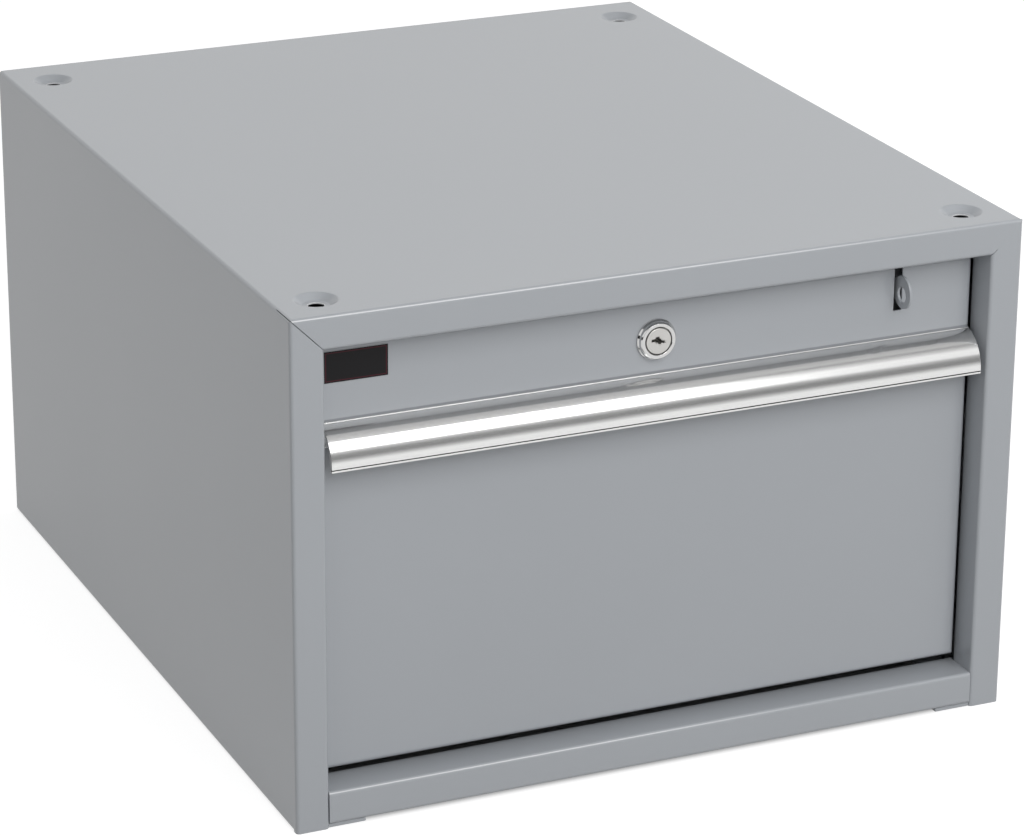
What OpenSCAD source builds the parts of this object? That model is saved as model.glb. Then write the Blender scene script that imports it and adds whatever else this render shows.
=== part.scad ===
// Stackable drawer box: a folded sheet steel case with one full-extension drawer.
// X runs along the front, Y towards the back and Z up. The origin is under the middle of the case.
// "Depth" in the comments below is the distance behind the front plane of the case.

/* [Case] */
// Overall width of the case
body_w = 438; // [340:1:640]
// Overall depth of the case, front to back
body_d = 508; // [480:1:700]
// Overall height of the case
body_h = 296; // [250:1:460]
// Thickness of the case sheet
case_t = 1.5; // [1:0.1:2]
// Inside radius of the folds in the case sheet
case_bend = 0.7; // [0.3:0.1:1.5]
// Face width of the front flanges at the sides, the top and the bottom
flange_w = 19.3; // [15:0.1:24]
// Depth of the returns behind the side and top flanges
flange_return = 20.2; // [12:0.1:24]
// Width of the open slit along each mitred front corner
mitre_gap = 0.3; // [0.2:0.1:0.6]
// Width of the inward flange along the bottom of each side
foot_flange = 19; // [12:0.5:24]

/* [Bottom rails] */
// Depth of the top return of the bottom front rail
rail_top_return = 23.9; // [16:0.1:26]
// Depth of the bottom return of the bottom front rail
rail_foot_return = 14; // [10:0.5:18]
// Depth of the flanges of the bottom rear rail
rear_rail_flange = 18; // [12:0.5:24]

/* [Back panel] */
// Thickness of the back panel sheet
back_t = 1.2; // [0.8:0.1:2]
// Depth of the flanges that fix the back panel to the case
back_flange = 15; // [10:0.5:20]

/* [Stacking holes] */
// Distance of the holes from the outside of each side
hole_side_inset = 25; // [24:0.5:40]
// Distance of the front holes from the front plane
hole_front_inset = 26.5; // [24:0.5:40]
// Distance of the rear holes from the back plane
hole_back_inset = 32; // [28:0.5:50]
// Radius of the stacking holes
hole_r = 4.3; // [3:0.1:5.5]
// Radius of the rim of each recess in the top
recess_rim_r = 11.7; // [10.5:0.1:14]
// Radius of the flat floor of each recess
recess_floor_r = 7; // [6.5:0.1:8.5]
// Depth of each recess below the top
recess_depth = 3.4; // [2.5:0.1:6]
// Thickness of the corner plates under the case
plate_t = 2.3; // [1.8:0.1:3]
// Width of plate kept beyond the centre of its hole
plate_margin = 16; // [12:0.5:22]
// Size of the cut corner on each plate
plate_chamfer = 12; // [4:0.5:20]

/* [Drawer front] */
// Depth of the drawer front's face behind the front plane
front_setback = 16.5; // [14:0.1:22]
// Gap between the drawer front and the opening at each side
front_side_gap = 2.4; // [2:0.1:6]
// Gap between the drawer front and the bottom rail
front_bottom_gap = 5.5; // [3:0.1:9]
// Gap between the drawer front and the top flange
front_top_gap = 3.7; // [2:0.1:5]
// Thickness of the hollow drawer front
front_thick = 15; // [13:0.5:18]
// Thickness of the drawer sheet
drawer_t = 1.2; // [0.8:0.1:1.6]
// Inside radius of the folds round the drawer front's face
front_bend = 2; // [0.8:0.1:3]
// Inside radius of the other folds in the drawer sheet
drawer_bend = 0.8; // [0.3:0.1:1.5]

/* [Drawer tray] */
// Height of the tray's floor above the bottom edge of the drawer front
tray_lift = 3.9; // [2:0.1:8]
// Gap between the top of the tray and the underside of the padlock lug
tray_top_gap = 9; // [4:0.5:16]
// Distance of the drawer's back from the back of the case
tray_back_gap = 27.5; // [24:0.5:60]
// Width of the folded rim along the top of the tray
rim_w = 8; // [5:0.5:14]
// Width of the flanges that join the tray to the drawer front and back
tray_flange = 12; // [8:0.5:16]

/* [Slides] */
// Height of the centre of the slides above the floor
slide_z = 112; // [90:1:150]
// Height of the cabinet slide member
slide_h = 45.7; // [44:0.1:52]
// Thickness of the slide assembly between the tray and the brackets
slide_t = 12.7; // [12.6:0.1:14]
// Distance of the cabinet slide member's end from the back of the case
slide_back_gap = 18; // [10:0.5:40]
// Length by which the middle slide member is shorter than the cabinet member
middle_short = 20; // [14:0.5:40]
// Length by which the drawer slide member is shorter than the cabinet member
inner_short = 10; // [8:0.5:14]
// Length by which the drawer's travel is shorter than the cabinet member
travel_short = 16; // [16:1:200]
// Sheet thickness of the slide members
member_t = 1.2; // [1:0.1:1.3]
// Diameter of the balls in the slides
ball_d = 4; // [3.5:0.1:4.2]
// Clearance between a ball and each raceway
ball_clear = 0.3; // [0.2:0.05:0.4]
// Number of balls in each row
balls_per_row = 8; // [4:1:10]
// Distance between neighbouring balls in a row
ball_pitch = 24; // [18:1:26]
// Sheet thickness of the ball cages
cage_t = 0.6; // [0.4:0.1:0.7]
// Length of the rubber stop at the back of each slide
stop_len = 6; // [4:0.5:7]

/* [Slide brackets] */
// Depth of the centre of the front brackets
bracket_front = 90; // [70:1:130]
// Distance of the centre of the rear brackets from the back plane
bracket_back = 78; // [60:1:130]
// Width of the raised face of each bracket
bracket_w = 36; // [30:1:44]
// Width of each foot of a bracket
bracket_foot = 12; // [9:0.5:16]
// Height of each bracket
bracket_h = 96; // [80:1:110]
// Vertical distance between the two screws in a bracket
screw_pitch = 22; // [16:1:26]
// Radius of the screw shanks in the slides
screw_r = 2; // [1.5:0.1:2.4]
// Radius of the screw heads in the slides
screw_head_r = 3.6; // [3.2:0.1:4]

/* [Handle] */
// Length by which each end of the handle passes the side of the drawer front
handle_overhang = -1; // [-1.5:0.1:1.5]
// Distance of the handle's top edge below the top of the case
handle_drop = 66.2; // [58:0.1:90]
// Outside radius of the handle's curve
handle_r = 21; // [18:0.1:30]
// Wall thickness of the handle
handle_wall = 1.8; // [1.4:0.1:2.6]
// Distance of the handle's curve behind the front plane
handle_inset = 0.2; // [0.1:0.1:2]
// Length of the straight skirt below the curve
handle_skirt = 2; // [1:0.1:5]
// Height of the leg that lies against the drawer front
handle_leg = 13.2; // [10:0.1:18]
// Number of rivets that hold the handle
rivet_count = 5; // [3:2:9]
// Radius of the handle rivets
rivet_r = 2; // [1.6:0.1:2.4]

/* [Lock] */
// Distance of the lock's centre below the top of the case
lock_drop = 46; // [42:0.1:49]
// Radius of the collar where it meets the drawer front
collar_r = 11.9; // [11:0.1:13]
// Radius of the collar's front face
collar_face_r = 10.4; // [9.9:0.1:10.9]
// Height of the collar in front of the drawer front
collar_h = 4; // [3:0.1:5.5]
// Radius of the lock barrel behind the collar
barrel_r = 9.5; // [9.2:0.1:9.7]
// Length of the barrel behind the drawer front's face
barrel_len = 29; // [27:0.5:31]
// Radius of the turning plug
plug_r = 8; // [7.4:0.1:8.3]
// Radial running clearance round the plug
plug_clear = 0.05; // [0.03:0.01:0.09]
// Width of the keyway across the plug
keyway_w = 7.4; // [6:0.1:9]
// Height of the keyway's slot
keyway_h = 1.3; // [0.9:0.1:1.8]
// Depth of the keyway into the plug
keyway_depth = 9; // [5:0.5:14]
// Size of the lock nut across its flats
nut_af = 25; // [24:0.5:28]
// Thickness of the lock nut
nut_t = 3; // [2:0.1:4]
// Length of the cam from the lock's centre to its tip
cam_len = 31; // [29:0.5:33]
// Width of the cam
cam_w = 15; // [12:0.5:18]
// Thickness of the cam
cam_t = 2.5; // [2:0.1:3]

/* [Lock strike] */
// Width of the strike plate
strike_w = 30; // [24:0.5:40]
// Thickness of the strike plate
strike_t = 2; // [1.5:0.1:2.5]
// Gap between the strike and the cam behind it
strike_gap = 1.2; // [0.8:0.1:2]
// Distance that the locked cam reaches up behind the strike
strike_overlap = 11; // [5:0.5:12]
// Depth of the strike's foot under the top of the case
strike_foot = 18; // [12:0.5:24]

/* [Padlock lug] */
// Distance of the lug from the outside of the case's right side
lug_side = 69; // [60:1:110]
// Distance of the nose's centre below the top of the case
lug_drop = 37.5; // [36:0.1:40]
// Radius of the lug's round nose
lug_r = 9.5; // [8.5:0.1:10]
// Radius of the eye
eye_r = 4.5; // [3.5:0.1:5]
// Distance of the eye's centre below the centre of the nose
eye_drop = 1.5; // [0:0.1:2]
// Height of the lug's neck behind its nose
lug_neck = 12; // [10:0.5:16]
// Thickness of the lug plate
lug_t = 1.6; // [1.5:0.1:3]
// Distance of the lug's nose behind the front plane
lug_inset = 1.6; // [0.2:0.1:2]
// Front to back length of the upright part of the lug
lug_post = 22; // [16:0.5:30]
// Width of the lug's foot under the top of the case
lug_foot = 18; // [12:0.5:26]
// Width of the slot in the drawer front for the lug
slot_w = 5; // [4.6:0.1:7]
// Gap between the lug and the bottom of its slot
slot_gap = 3; // [2:0.1:4]

/* [Label] */
// Width of the bare label
label_w = 36.8; // [20:0.1:60]
// Height of the bare label
label_h = 18; // [12:0.1:24]
// Thickness of the bare label
label_t = 0.2; // [0.1:0.05:0.4]
// Distance of the label from the round side edge of the drawer front
label_side = 0; // [0:0.1:20]
// Distance of the label from the round top edge of the drawer front
label_top = 0; // [0:0.1:10]

/* [Hidden] */

LEFT = -1;
RIGHT = 1;
FRONT = -1;
REAR = 1;

// Colours, as the photograph shows them
paint_grey = [0.64, 0.655, 0.675];
zinc_grey = [0.72, 0.73, 0.74];
bright_metal = [0.86, 0.86, 0.87];
dark_rubber = [0.12, 0.12, 0.13];
label_black = [0.09, 0.06, 0.07];

// Small amount by which a cutting shape passes the surface that it cuts
over = 1;
// Steps along the arc of each fold
bend_steps = 4;

// Planes of the case
half_w = body_w / 2;
y_front = -body_d / 2;
y_back = body_d / 2;
wall_x = half_w - case_t;
roof_z = body_h - case_t;
open_x = half_w - flange_w;
open_top = body_h - flange_w;
rail_top = plate_t + flange_w;
case_fold = case_bend + case_t;

// Centres of the stacking holes
hole_x = half_w - hole_side_inset;
hole_y_front = y_front + hole_front_inset;
hole_y_rear = y_back - hole_back_inset;

// Edges of the corner plates towards the middle of the case
plate_x = hole_x - plate_margin;
plate_y_front = hole_y_front + plate_margin;
plate_y_rear = hole_y_rear - plate_margin;

// Planes of the drawer front
face_y = y_front + front_setback;
front_back_y = face_y + front_thick;
front_x = open_x - front_side_gap;
front_z0 = rail_top + front_bottom_gap;
front_z1 = open_top - front_top_gap;

// Padlock lug and its slot
lug_x = half_w - lug_side;
lug_z = body_h - lug_drop;
lug_nose_y = y_front + lug_inset + lug_r;
lug_post_y = front_back_y + 5;
lug_bottom = lug_z - lug_r;

// Slides: the running gap between the drawer front and the opening leaves the brackets' room
slide_end_gap = 2.5;
bracket_face_x = open_x - 0.9;
tray_x = bracket_face_x - slide_t;
slide_y0 = front_back_y + slide_end_gap;
slide_y1 = y_back - slide_back_gap;
slide_len = slide_y1 - slide_y0;
middle_len = slide_len - middle_short;
inner_len = slide_len - inner_short;
travel = slide_len - travel_short;
bracket_rear = body_d - bracket_back;
stop_gap = 0.3;
web_gap = 0.4;
race_gap = ball_d + 2 * ball_clear;
cabinet_half = slide_h / 2;
middle_half = cabinet_half - member_t - race_gap;
drawer_half = middle_half - member_t - race_gap;
cage_web_gap = cage_t + 2 * web_gap;
cabinet_web_x = bracket_face_x - member_t;
middle_web_x = cabinet_web_x - cage_web_gap - member_t;
drawer_tip_x = middle_web_x - cage_web_gap;
cage_strip_t = 0.8;
cage_len = (balls_per_row - 1) * ball_pitch + 22;
ball_hole_clear = 0.1;

// Raceway centre lines, in X and above or below the slide's centre
outer_ball_x = cabinet_web_x - 0.5 * (slide_t - member_t) + 1.6;
outer_ball_z = cabinet_half - member_t - race_gap / 2;
inner_ball_x = tray_x + 0.5 * slide_t - 1.4;
inner_ball_z = middle_half - member_t - race_gap / 2;

// Flange tips of the slide members
cabinet_tip_x = outer_ball_x - ball_d / 2 - 1;
middle_tip_x = inner_ball_x - ball_d / 2 - 1;

// A cage lies behind the middle of its slide when closed, so that it stays between
// the two members that it runs in when the drawer is fully open
outer_cage_y = slide_y0 + middle_len / 2 - cage_len / 2 + travel / 16;
inner_cage_y = outer_cage_y + 5;

// Tray
tray_z0 = front_z0 + tray_lift;
tray_z1 = lug_bottom - tray_top_gap;
tray_y1 = y_back - tray_back_gap;

// Handle
handle_len = 2 * (front_x + handle_overhang);
handle_top_z = body_h - handle_drop;
handle_axis_y = y_front + handle_inset + handle_r;
handle_rise = sqrt(pow(handle_r, 2) - pow(handle_axis_y - face_y, 2));
handle_axis_z = handle_top_z - handle_rise;
rivet_z = handle_top_z - handle_leg / 2 - handle_wall / 2;
rivet_head_t = 1.2;
rivet_edge = 24;
shank_clear = 0.05;

// Lock
lock_z = body_h - lock_drop;
barrel_end_y = face_y + barrel_len;
collar_face_y = face_y - collar_h;
plug_tail_r = plug_r - 1;
plug_head_len = collar_h + 4;
stem_r = 3.4;
stem_flat = 2.6;
cam_gap = 0.3;
cam_y0 = barrel_end_y + cam_gap;
cam_y1 = cam_y0 + cam_t;
cam_screw_r = 1.6;
cam_screw_head_r = 4.4;
cam_screw_head_t = 1.8;

// Strike
strike_y1 = cam_y0 - strike_gap;
strike_y0 = strike_y1 - strike_t;
strike_z0 = lock_z + cam_len - strike_overlap;

// ---------- Shapes shared by the sub-parts ----------

function unit(v) = v / norm(v);

function left_of(v) = [-v[1], v[0]];

function reversed(list) = [for (i = [len(list) - 1:-1:0]) list[i]];

// Points of one fold, along the path's own line or along the line one thickness to its left
function fold_arc(p, d0, d1, t, r_in, on_left) =
    let (
        turn = sign(cross(d0, d1)),
        half = acos(d0 * d1) / 2,
        r_path = turn > 0 ? r_in + t : r_in,
        r_line = (turn > 0) == on_left ? r_in : r_in + t,
        centre = p - d0 * r_path * tan(half) + left_of(d0) * turn * r_path,
        out = -turn * left_of(d0),
        start = atan2(out[1], out[0])
    )
    [for (i = [0:bend_steps])
        let (a = start + turn * 2 * half * i / bend_steps)
        centre + r_line * [cos(a), sin(a)]];

// One side of a folded sheet, from the first point of the path to the last
function fold_line(path, t, r_in, on_left) =
    let (
        last = len(path) - 1,
        dirs = [for (i = [0:last - 1]) unit(path[i + 1] - path[i])],
        shift = on_left ? t : 0
    )
    concat(
        [path[0] + shift * left_of(dirs[0])],
        [for (i = [1:last - 1]) each fold_arc(path[i], dirs[i - 1], dirs[i], t, r_in, on_left)],
        [path[last] + shift * left_of(dirs[last - 1])]
    );

// Cross-section of a folded sheet: the path is one face, and the sheet lies to its left
module folded(path, t, r_in) {
    polygon(concat(fold_line(path, t, r_in, false), reversed(fold_line(path, t, r_in, true))));
}

// Rectangle with round corners
module round_rect(x0, y0, x1, y1, r) {
    corners = [[x1 - r, y1 - r, 0], [x0 + r, y1 - r, 90], [x0 + r, y0 + r, 180], [x1 - r, y0 + r, 270]];
    polygon([for (c = corners, i = [0:bend_steps])
        let (a = c[2] + 90 * i / bend_steps)
        [c[0] + r * cos(a), c[1] + r * sin(a)]]);
}

module box(low, high) {
    translate(low)
        cube(high - low);
}

// Extrusions of a section drawn in (Y, Z), (X, Z) or (X, Y)
module along_x(x0, x1) {
    translate([x0, 0, 0])
        rotate([90, 0, 90])
            linear_extrude(height = x1 - x0)
                children();
}

module along_y(y0, y1) {
    translate([0, y1, 0])
        rotate([90, 0, 0])
            linear_extrude(height = y1 - y0)
                children();
}

module along_z(z0, z1) {
    translate([0, 0, z0])
        linear_extrude(height = z1 - z0)
            children();
}

// Round bar along Y
module rod_y(x, z, y0, y1, r) {
    translate([x, y0, z])
        rotate([-90, 0, 0])
            cylinder(h = y1 - y0, r = r, $fn = 48);
}

// Cone along Y
module cone_y(x, z, y0, y1, r0, r1) {
    translate([x, y0, z])
        rotate([-90, 0, 0])
            cylinder(h = y1 - y0, r1 = r0, r2 = r1, $fn = 48);
}

// Round bar along X
module rod_x(y, z, x0, x1, r) {
    translate([x0, y, z])
        rotate([0, 90, 0])
            cylinder(h = x1 - x0, r = r, $fn = 48);
}

// Cone along X
module cone_x(y, z, x0, x1, r0, r1) {
    translate([x0, y, z])
        rotate([0, 90, 0])
            cylinder(h = x1 - x0, r1 = r0, r2 = r1, $fn = 48);
}

// A piece drawn on the right, placed on the side that is asked for
module on_side(side) {
    mirror([side == LEFT ? 1 : 0, 0, 0])
        children();
}

// ---------- Case ----------

// Space inside the outer skin of the case, with round top edges
module case_envelope() {
    along_y(y_front, y_back)
        round_rect(-half_w, -2 * case_fold, half_w, body_h, case_fold);
}

module case_wrap() {
    along_y(y_front + case_fold, y_back)
        folded([
            [half_w - foot_flange, 0],
            [half_w, 0],
            [half_w, body_h],
            [-half_w, body_h],
            [-half_w, 0],
            [-half_w + foot_flange, 0]
        ], case_t, case_bend);
}

// Front flange and return of the right side, cut along the mitre
module side_front_fold() {
    intersection() {
        along_z(0, body_h)
            folded([
                [open_x, y_front + flange_return],
                [open_x, y_front],
                [half_w, y_front],
                [half_w, y_front + 2 * case_fold]
            ], case_t, case_bend);
        along_y(y_front - over, y_front + flange_return + over)
            polygon([
                [half_w + over, -over],
                [half_w + over, body_h + over],
                [open_x - over, open_top - over],
                [open_x - over, -over]
            ]);
    }
}

// Front flange and return of the top, cut along both mitres
module top_front_fold() {
    reach = flange_w + over;
    intersection() {
        along_x(-half_w, half_w)
            folded([
                [y_front + 2 * case_fold, body_h],
                [y_front, body_h],
                [y_front, open_top],
                [y_front + flange_return, open_top]
            ], case_t, case_bend);
        along_y(y_front - over, y_front + flange_return + over)
            polygon([
                [-half_w - over, body_h + over],
                [half_w + over, body_h + over],
                [half_w - reach, body_h - reach],
                [-half_w + reach, body_h - reach]
            ]);
    }
}

// Slit along the right-hand mitre
module mitre_slit() {
    translate([open_x, y_front - over, open_top])
        rotate([0, -45, 0])
            translate([-over, 0, -mitre_gap / 2])
                cube([flange_w * sqrt(2) + 2 * over, flange_return + 2 * over, mitre_gap]);
}

module at_stacking_holes() {
    for (x = [-hole_x, hole_x])
        for (y = [hole_y_front, hole_y_rear])
            translate([x, y, 0])
                children();
}

// Sheet pressed down round a stacking hole
module recess_wall() {
    translate([0, 0, roof_z - recess_depth])
        cylinder(h = recess_depth + case_t, r1 = recess_floor_r + 0.7, r2 = recess_rim_r + case_t, $fn = 64);
}

module recess_space() {
    translate([0, 0, body_h - recess_depth])
        cylinder(h = recess_depth, r1 = recess_floor_r, r2 = recess_rim_r, $fn = 64);
    translate([0, 0, body_h - over / 2])
        cylinder(h = over, r = recess_rim_r, $fn = 64);
    translate([0, 0, roof_z - recess_depth - over])
        cylinder(h = recess_depth + case_t, r = hole_r, $fn = 64);
}

// Room for the corner plates, where the foot flanges stop
module foot_relief(side) {
    on_side(side) {
        box([0, y_front + case_fold, -over], [wall_x, plate_y_front, plate_t + case_fold]);
        box([0, plate_y_rear, -over], [wall_x, y_back + over, plate_t + case_fold]);
        box([open_x - over, y_front + case_t, -over], [wall_x, y_front + flange_return + over, plate_t]);
    }
}

module case_shell() {
    color(paint_grey)
        difference() {
            union() {
                case_wrap();
                intersection() {
                    case_envelope();
                    union() {
                        on_side(RIGHT)
                            side_front_fold();
                        on_side(LEFT)
                            side_front_fold();
                        top_front_fold();
                    }
                }
                at_stacking_holes()
                    recess_wall();
            }
            at_stacking_holes()
                recess_space();
            for (side = [LEFT, RIGHT]) {
                on_side(side)
                    mitre_slit();
                foot_relief(side);
            }
        }
}

// Back panel, with its flanges against the inside of the case
module back_panel() {
    color(paint_grey)
        difference() {
            intersection() {
                along_y(y_back - back_flange - over, y_back + over)
                    round_rect(-wall_x, -2 * case_bend, wall_x, roof_z, case_bend);
                union() {
                    along_z(0, roof_z)
                        folded([
                            [wall_x, y_back - back_flange],
                            [wall_x, y_back],
                            [-wall_x, y_back],
                            [-wall_x, y_back - back_flange]
                        ], back_t, case_bend);
                    box([-wall_x + back_t, y_back - back_flange, roof_z - back_t],
                        [wall_x - back_t, y_back, roof_z]);
                }
            }
            box([-half_w, y_back - back_flange - over, -over], [half_w, y_back - back_t - case_bend, plate_t]);
        }
}

module bottom_front_rail() {
    color(paint_grey)
        along_x(-open_x, open_x)
            folded([
                [y_front + rail_top_return, rail_top],
                [y_front, rail_top],
                [y_front, plate_t],
                [y_front + rail_foot_return, plate_t]
            ], case_t, case_bend);
}

module bottom_rear_rail() {
    x = wall_x - back_t - case_bend;
    y = y_back - back_t;
    color(paint_grey)
        along_x(-x, x)
            folded([
                [y - rear_rail_flange, plate_t],
                [y, plate_t],
                [y, rail_top],
                [y - rear_rail_flange, rail_top]
            ], case_t, case_bend);
}

// Plate across one bottom corner, with a stacking hole
module corner_plate(side, end) {
    y_hole = end == FRONT ? hole_y_front : hole_y_rear;
    y_in = end == FRONT ? plate_y_front : plate_y_rear;
    y_out = end == FRONT ? y_front + case_t : y_back - back_t - case_bend;
    color(paint_grey)
        on_side(side)
            difference() {
                along_z(0, plate_t)
                    polygon([
                        [wall_x, y_out],
                        [wall_x, y_in],
                        [plate_x + plate_chamfer, y_in],
                        [plate_x, y_in + end * plate_chamfer],
                        [plate_x, y_out]
                    ]);
                translate([hole_x, y_hole, -over])
                    cylinder(h = plate_t + 2 * over, r = hole_r, $fn = 64);
            }
}

module corner_plate_front_left() {
    corner_plate(LEFT, FRONT);
}

module corner_plate_front_right() {
    corner_plate(RIGHT, FRONT);
}

module corner_plate_rear_left() {
    corner_plate(LEFT, REAR);
}

module corner_plate_rear_right() {
    corner_plate(RIGHT, REAR);
}

// ---------- Slide brackets and slides ----------

// Centres of the two screws in the bracket at a given depth
module at_bracket_screws(depth) {
    for (dz = [-screw_pitch / 2, screw_pitch / 2])
        translate([0, y_front + depth, slide_z + dz])
            children();
}

module slide_bracket(side, depth) {
    y = y_front + depth;
    web_x = bracket_face_x + case_t;
    color(zinc_grey)
        on_side(side)
            difference() {
                along_z(slide_z - bracket_h / 2, slide_z + bracket_h / 2)
                    folded([
                        [wall_x, y - bracket_w / 2 - bracket_foot],
                        [wall_x, y - bracket_w / 2],
                        [web_x, y - bracket_w / 2],
                        [web_x, y + bracket_w / 2],
                        [wall_x, y + bracket_w / 2],
                        [wall_x, y + bracket_w / 2 + bracket_foot]
                    ], case_t, case_bend);
                at_bracket_screws(depth)
                    rod_x(0, 0, bracket_face_x - over, web_x + over, screw_r + shank_clear);
            }
}

module slide_bracket_front_left() {
    slide_bracket(LEFT, bracket_front);
}

module slide_bracket_front_right() {
    slide_bracket(RIGHT, bracket_front);
}

module slide_bracket_rear_left() {
    slide_bracket(LEFT, bracket_rear);
}

module slide_bracket_rear_right() {
    slide_bracket(RIGHT, bracket_rear);
}

// Channel section with its web at the first X and its flange tips at the second
module channel(web_x, tip_x, half, t, y0, y1) {
    low = slide_z - half;
    high = slide_z + half;
    along_y(y0, y1)
        folded(web_x > tip_x
            ? [[tip_x, low], [web_x, low], [web_x, high], [tip_x, high]]
            : [[tip_x, high], [web_x, high], [web_x, low], [tip_x, low]],
            t, 0.3);
}

// Flush screws that hold a cabinet member to its brackets
module slide_screw(extra) {
    cone_x(0, 0, cabinet_web_x - extra, bracket_face_x, screw_head_r + extra, screw_r + 0.6 + extra);
    rod_x(0, 0, bracket_face_x - over / 2, bracket_face_x + case_t + 4, screw_r + extra);
}

module cabinet_member(side) {
    color(bright_metal)
        on_side(side)
            difference() {
                channel(bracket_face_x, cabinet_tip_x, cabinet_half, member_t, slide_y0, slide_y1);
                for (depth = [bracket_front, bracket_rear])
                    at_bracket_screws(depth)
                        slide_screw(shank_clear);
            }
}

module cabinet_member_left() {
    cabinet_member(LEFT);
}

module cabinet_member_right() {
    cabinet_member(RIGHT);
}

module cabinet_slide_screws() {
    color(bright_metal)
        for (side = [LEFT, RIGHT], depth = [bracket_front, bracket_rear])
            on_side(side)
                at_bracket_screws(depth)
                    slide_screw(0);
}

// Rubber block that the closed drawer member rests against
module slide_stop(side) {
    half = drawer_half - 1;
    y = slide_y0 + inner_len + stop_gap;
    color(dark_rubber)
        on_side(side)
            box([tray_x + 2, y, slide_z - half], [cabinet_web_x, y + stop_len, slide_z + half]);
}

module slide_stop_left() {
    slide_stop(LEFT);
}

module slide_stop_right() {
    slide_stop(RIGHT);
}

module middle_member(side) {
    color(bright_metal)
        on_side(side)
            channel(middle_web_x + member_t, middle_tip_x, middle_half, member_t, slide_y0, slide_y0 + middle_len);
}

module middle_member_left() {
    middle_member(LEFT);
}

module middle_member_right() {
    middle_member(RIGHT);
}

// Ball positions along one row, from the front end of its cage
module at_balls(x, y, z) {
    for (dz = [-z, z], i = [0:balls_per_row - 1])
        translate([x, y + (cage_len - (balls_per_row - 1) * ball_pitch) / 2 + i * ball_pitch, slide_z + dz])
            children();
}

// Thin channel that keeps two rows of balls apart
module ball_cage(side, web_x, ball_x, ball_z, y) {
    tip_x = ball_x - ball_d / 2 - 0.8;
    color(zinc_grey)
        on_side(side)
            difference() {
                union() {
                    box([web_x, y, slide_z - ball_z], [web_x + cage_t, y + cage_len, slide_z + ball_z]);
                    for (dz = [-ball_z, ball_z])
                        box([tip_x, y, slide_z + dz - cage_strip_t / 2],
                            [web_x + cage_t, y + cage_len, slide_z + dz + cage_strip_t / 2]);
                }
                at_balls(ball_x, y, ball_z)
                    translate([0, 0, -cage_strip_t])
                        cylinder(h = 2 * cage_strip_t, r = ball_d / 2 + ball_hole_clear, $fn = 32);
            }
}

module ball_rows(side, ball_x, ball_z, y) {
    color(bright_metal)
        on_side(side)
            at_balls(ball_x, y, ball_z)
                sphere(d = ball_d, $fn = 24);
}

module outer_ball_cage_left() {
    ball_cage(LEFT, cabinet_web_x - web_gap - cage_t, outer_ball_x, outer_ball_z, outer_cage_y);
}

module outer_ball_cage_right() {
    ball_cage(RIGHT, cabinet_web_x - web_gap - cage_t, outer_ball_x, outer_ball_z, outer_cage_y);
}

module inner_ball_cage_left() {
    ball_cage(LEFT, middle_web_x - web_gap - cage_t, inner_ball_x, inner_ball_z, inner_cage_y);
}

module inner_ball_cage_right() {
    ball_cage(RIGHT, middle_web_x - web_gap - cage_t, inner_ball_x, inner_ball_z, inner_cage_y);
}

module outer_balls_left() {
    ball_rows(LEFT, outer_ball_x, outer_ball_z, outer_cage_y);
}

module outer_balls_right() {
    ball_rows(RIGHT, outer_ball_x, outer_ball_z, outer_cage_y);
}

module inner_balls_left() {
    ball_rows(LEFT, inner_ball_x, inner_ball_z, inner_cage_y);
}

module inner_balls_right() {
    ball_rows(RIGHT, inner_ball_x, inner_ball_z, inner_cage_y);
}

// Rivet along X through a drawer member and the side of the tray
module slide_rivet(extra) {
    rod_x(0, 0, tray_x - drawer_t - 0.6, tray_x + member_t + 0.6, screw_r + extra);
}

module at_slide_rivets() {
    for (share = [0.06, 0.35, 0.65, 0.94])
        translate([0, slide_y0 + share * inner_len, slide_z])
            children();
}

module drawer_member(side) {
    color(bright_metal)
        on_side(side)
            difference() {
                channel(tray_x, drawer_tip_x, drawer_half, member_t, slide_y0, slide_y0 + inner_len);
                at_slide_rivets()
                    slide_rivet(shank_clear);
            }
}

module drawer_member_left() {
    drawer_member(LEFT);
}

module drawer_member_right() {
    drawer_member(RIGHT);
}

module drawer_slide_rivets() {
    color(bright_metal)
        for (side = [LEFT, RIGHT])
            on_side(side)
                at_slide_rivets() {
                    slide_rivet(0);
                    cone_x(0, 0, tray_x + member_t, tray_x + member_t + 1.4, screw_head_r, screw_head_r - 1);
                    cone_x(0, 0, tray_x - drawer_t - 1.2, tray_x - drawer_t, screw_head_r - 1, screw_head_r);
                }
}

// ---------- Drawer ----------

// Block between two corners, with every edge towards the front rounded
module front_block(low, high, r) {
    intersection() {
        along_z(low[2], high[2])
            round_rect(low[0], low[1], high[0], high[1] + 2 * r, r);
        along_x(low[0], high[0])
            round_rect(low[1], low[2], high[1] + 2 * r, high[2], r);
        box(low, high);
    }
}

// Slot through the drawer front for the padlock lug, open at the top
module lug_slot() {
    box([lug_x - slot_w / 2, face_y - over, lug_bottom - slot_gap],
        [lug_x + slot_w / 2, front_back_y + over, front_z1 + over]);
}

module at_handle_rivets() {
    pitch = (handle_len - 2 * rivet_edge) / (rivet_count - 1);
    for (i = [0:rivet_count - 1])
        translate([-handle_len / 2 + rivet_edge + i * pitch, 0, rivet_z])
            children();
}

// Shank of a handle rivet, from the leg of the handle to the back of the face sheet
module rivet_shank(extra) {
    rod_y(0, 0, face_y - handle_wall - extra, face_y + drawer_t + extra, rivet_r + extra);
}

module drawer_front() {
    t = drawer_t;
    color(paint_grey)
        difference() {
            front_block([-front_x, face_y, front_z0], [front_x, front_back_y, front_z1], front_bend + t);
            front_block([-front_x + t, face_y + t, front_z0 + t],
                        [front_x - t, front_back_y + over, front_z1 - t], front_bend);
            rod_y(0, lock_z, face_y - over, front_back_y, barrel_r + shank_clear);
            lug_slot();
            at_handle_rivets()
                rivet_shank(shank_clear);
        }
}

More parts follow.
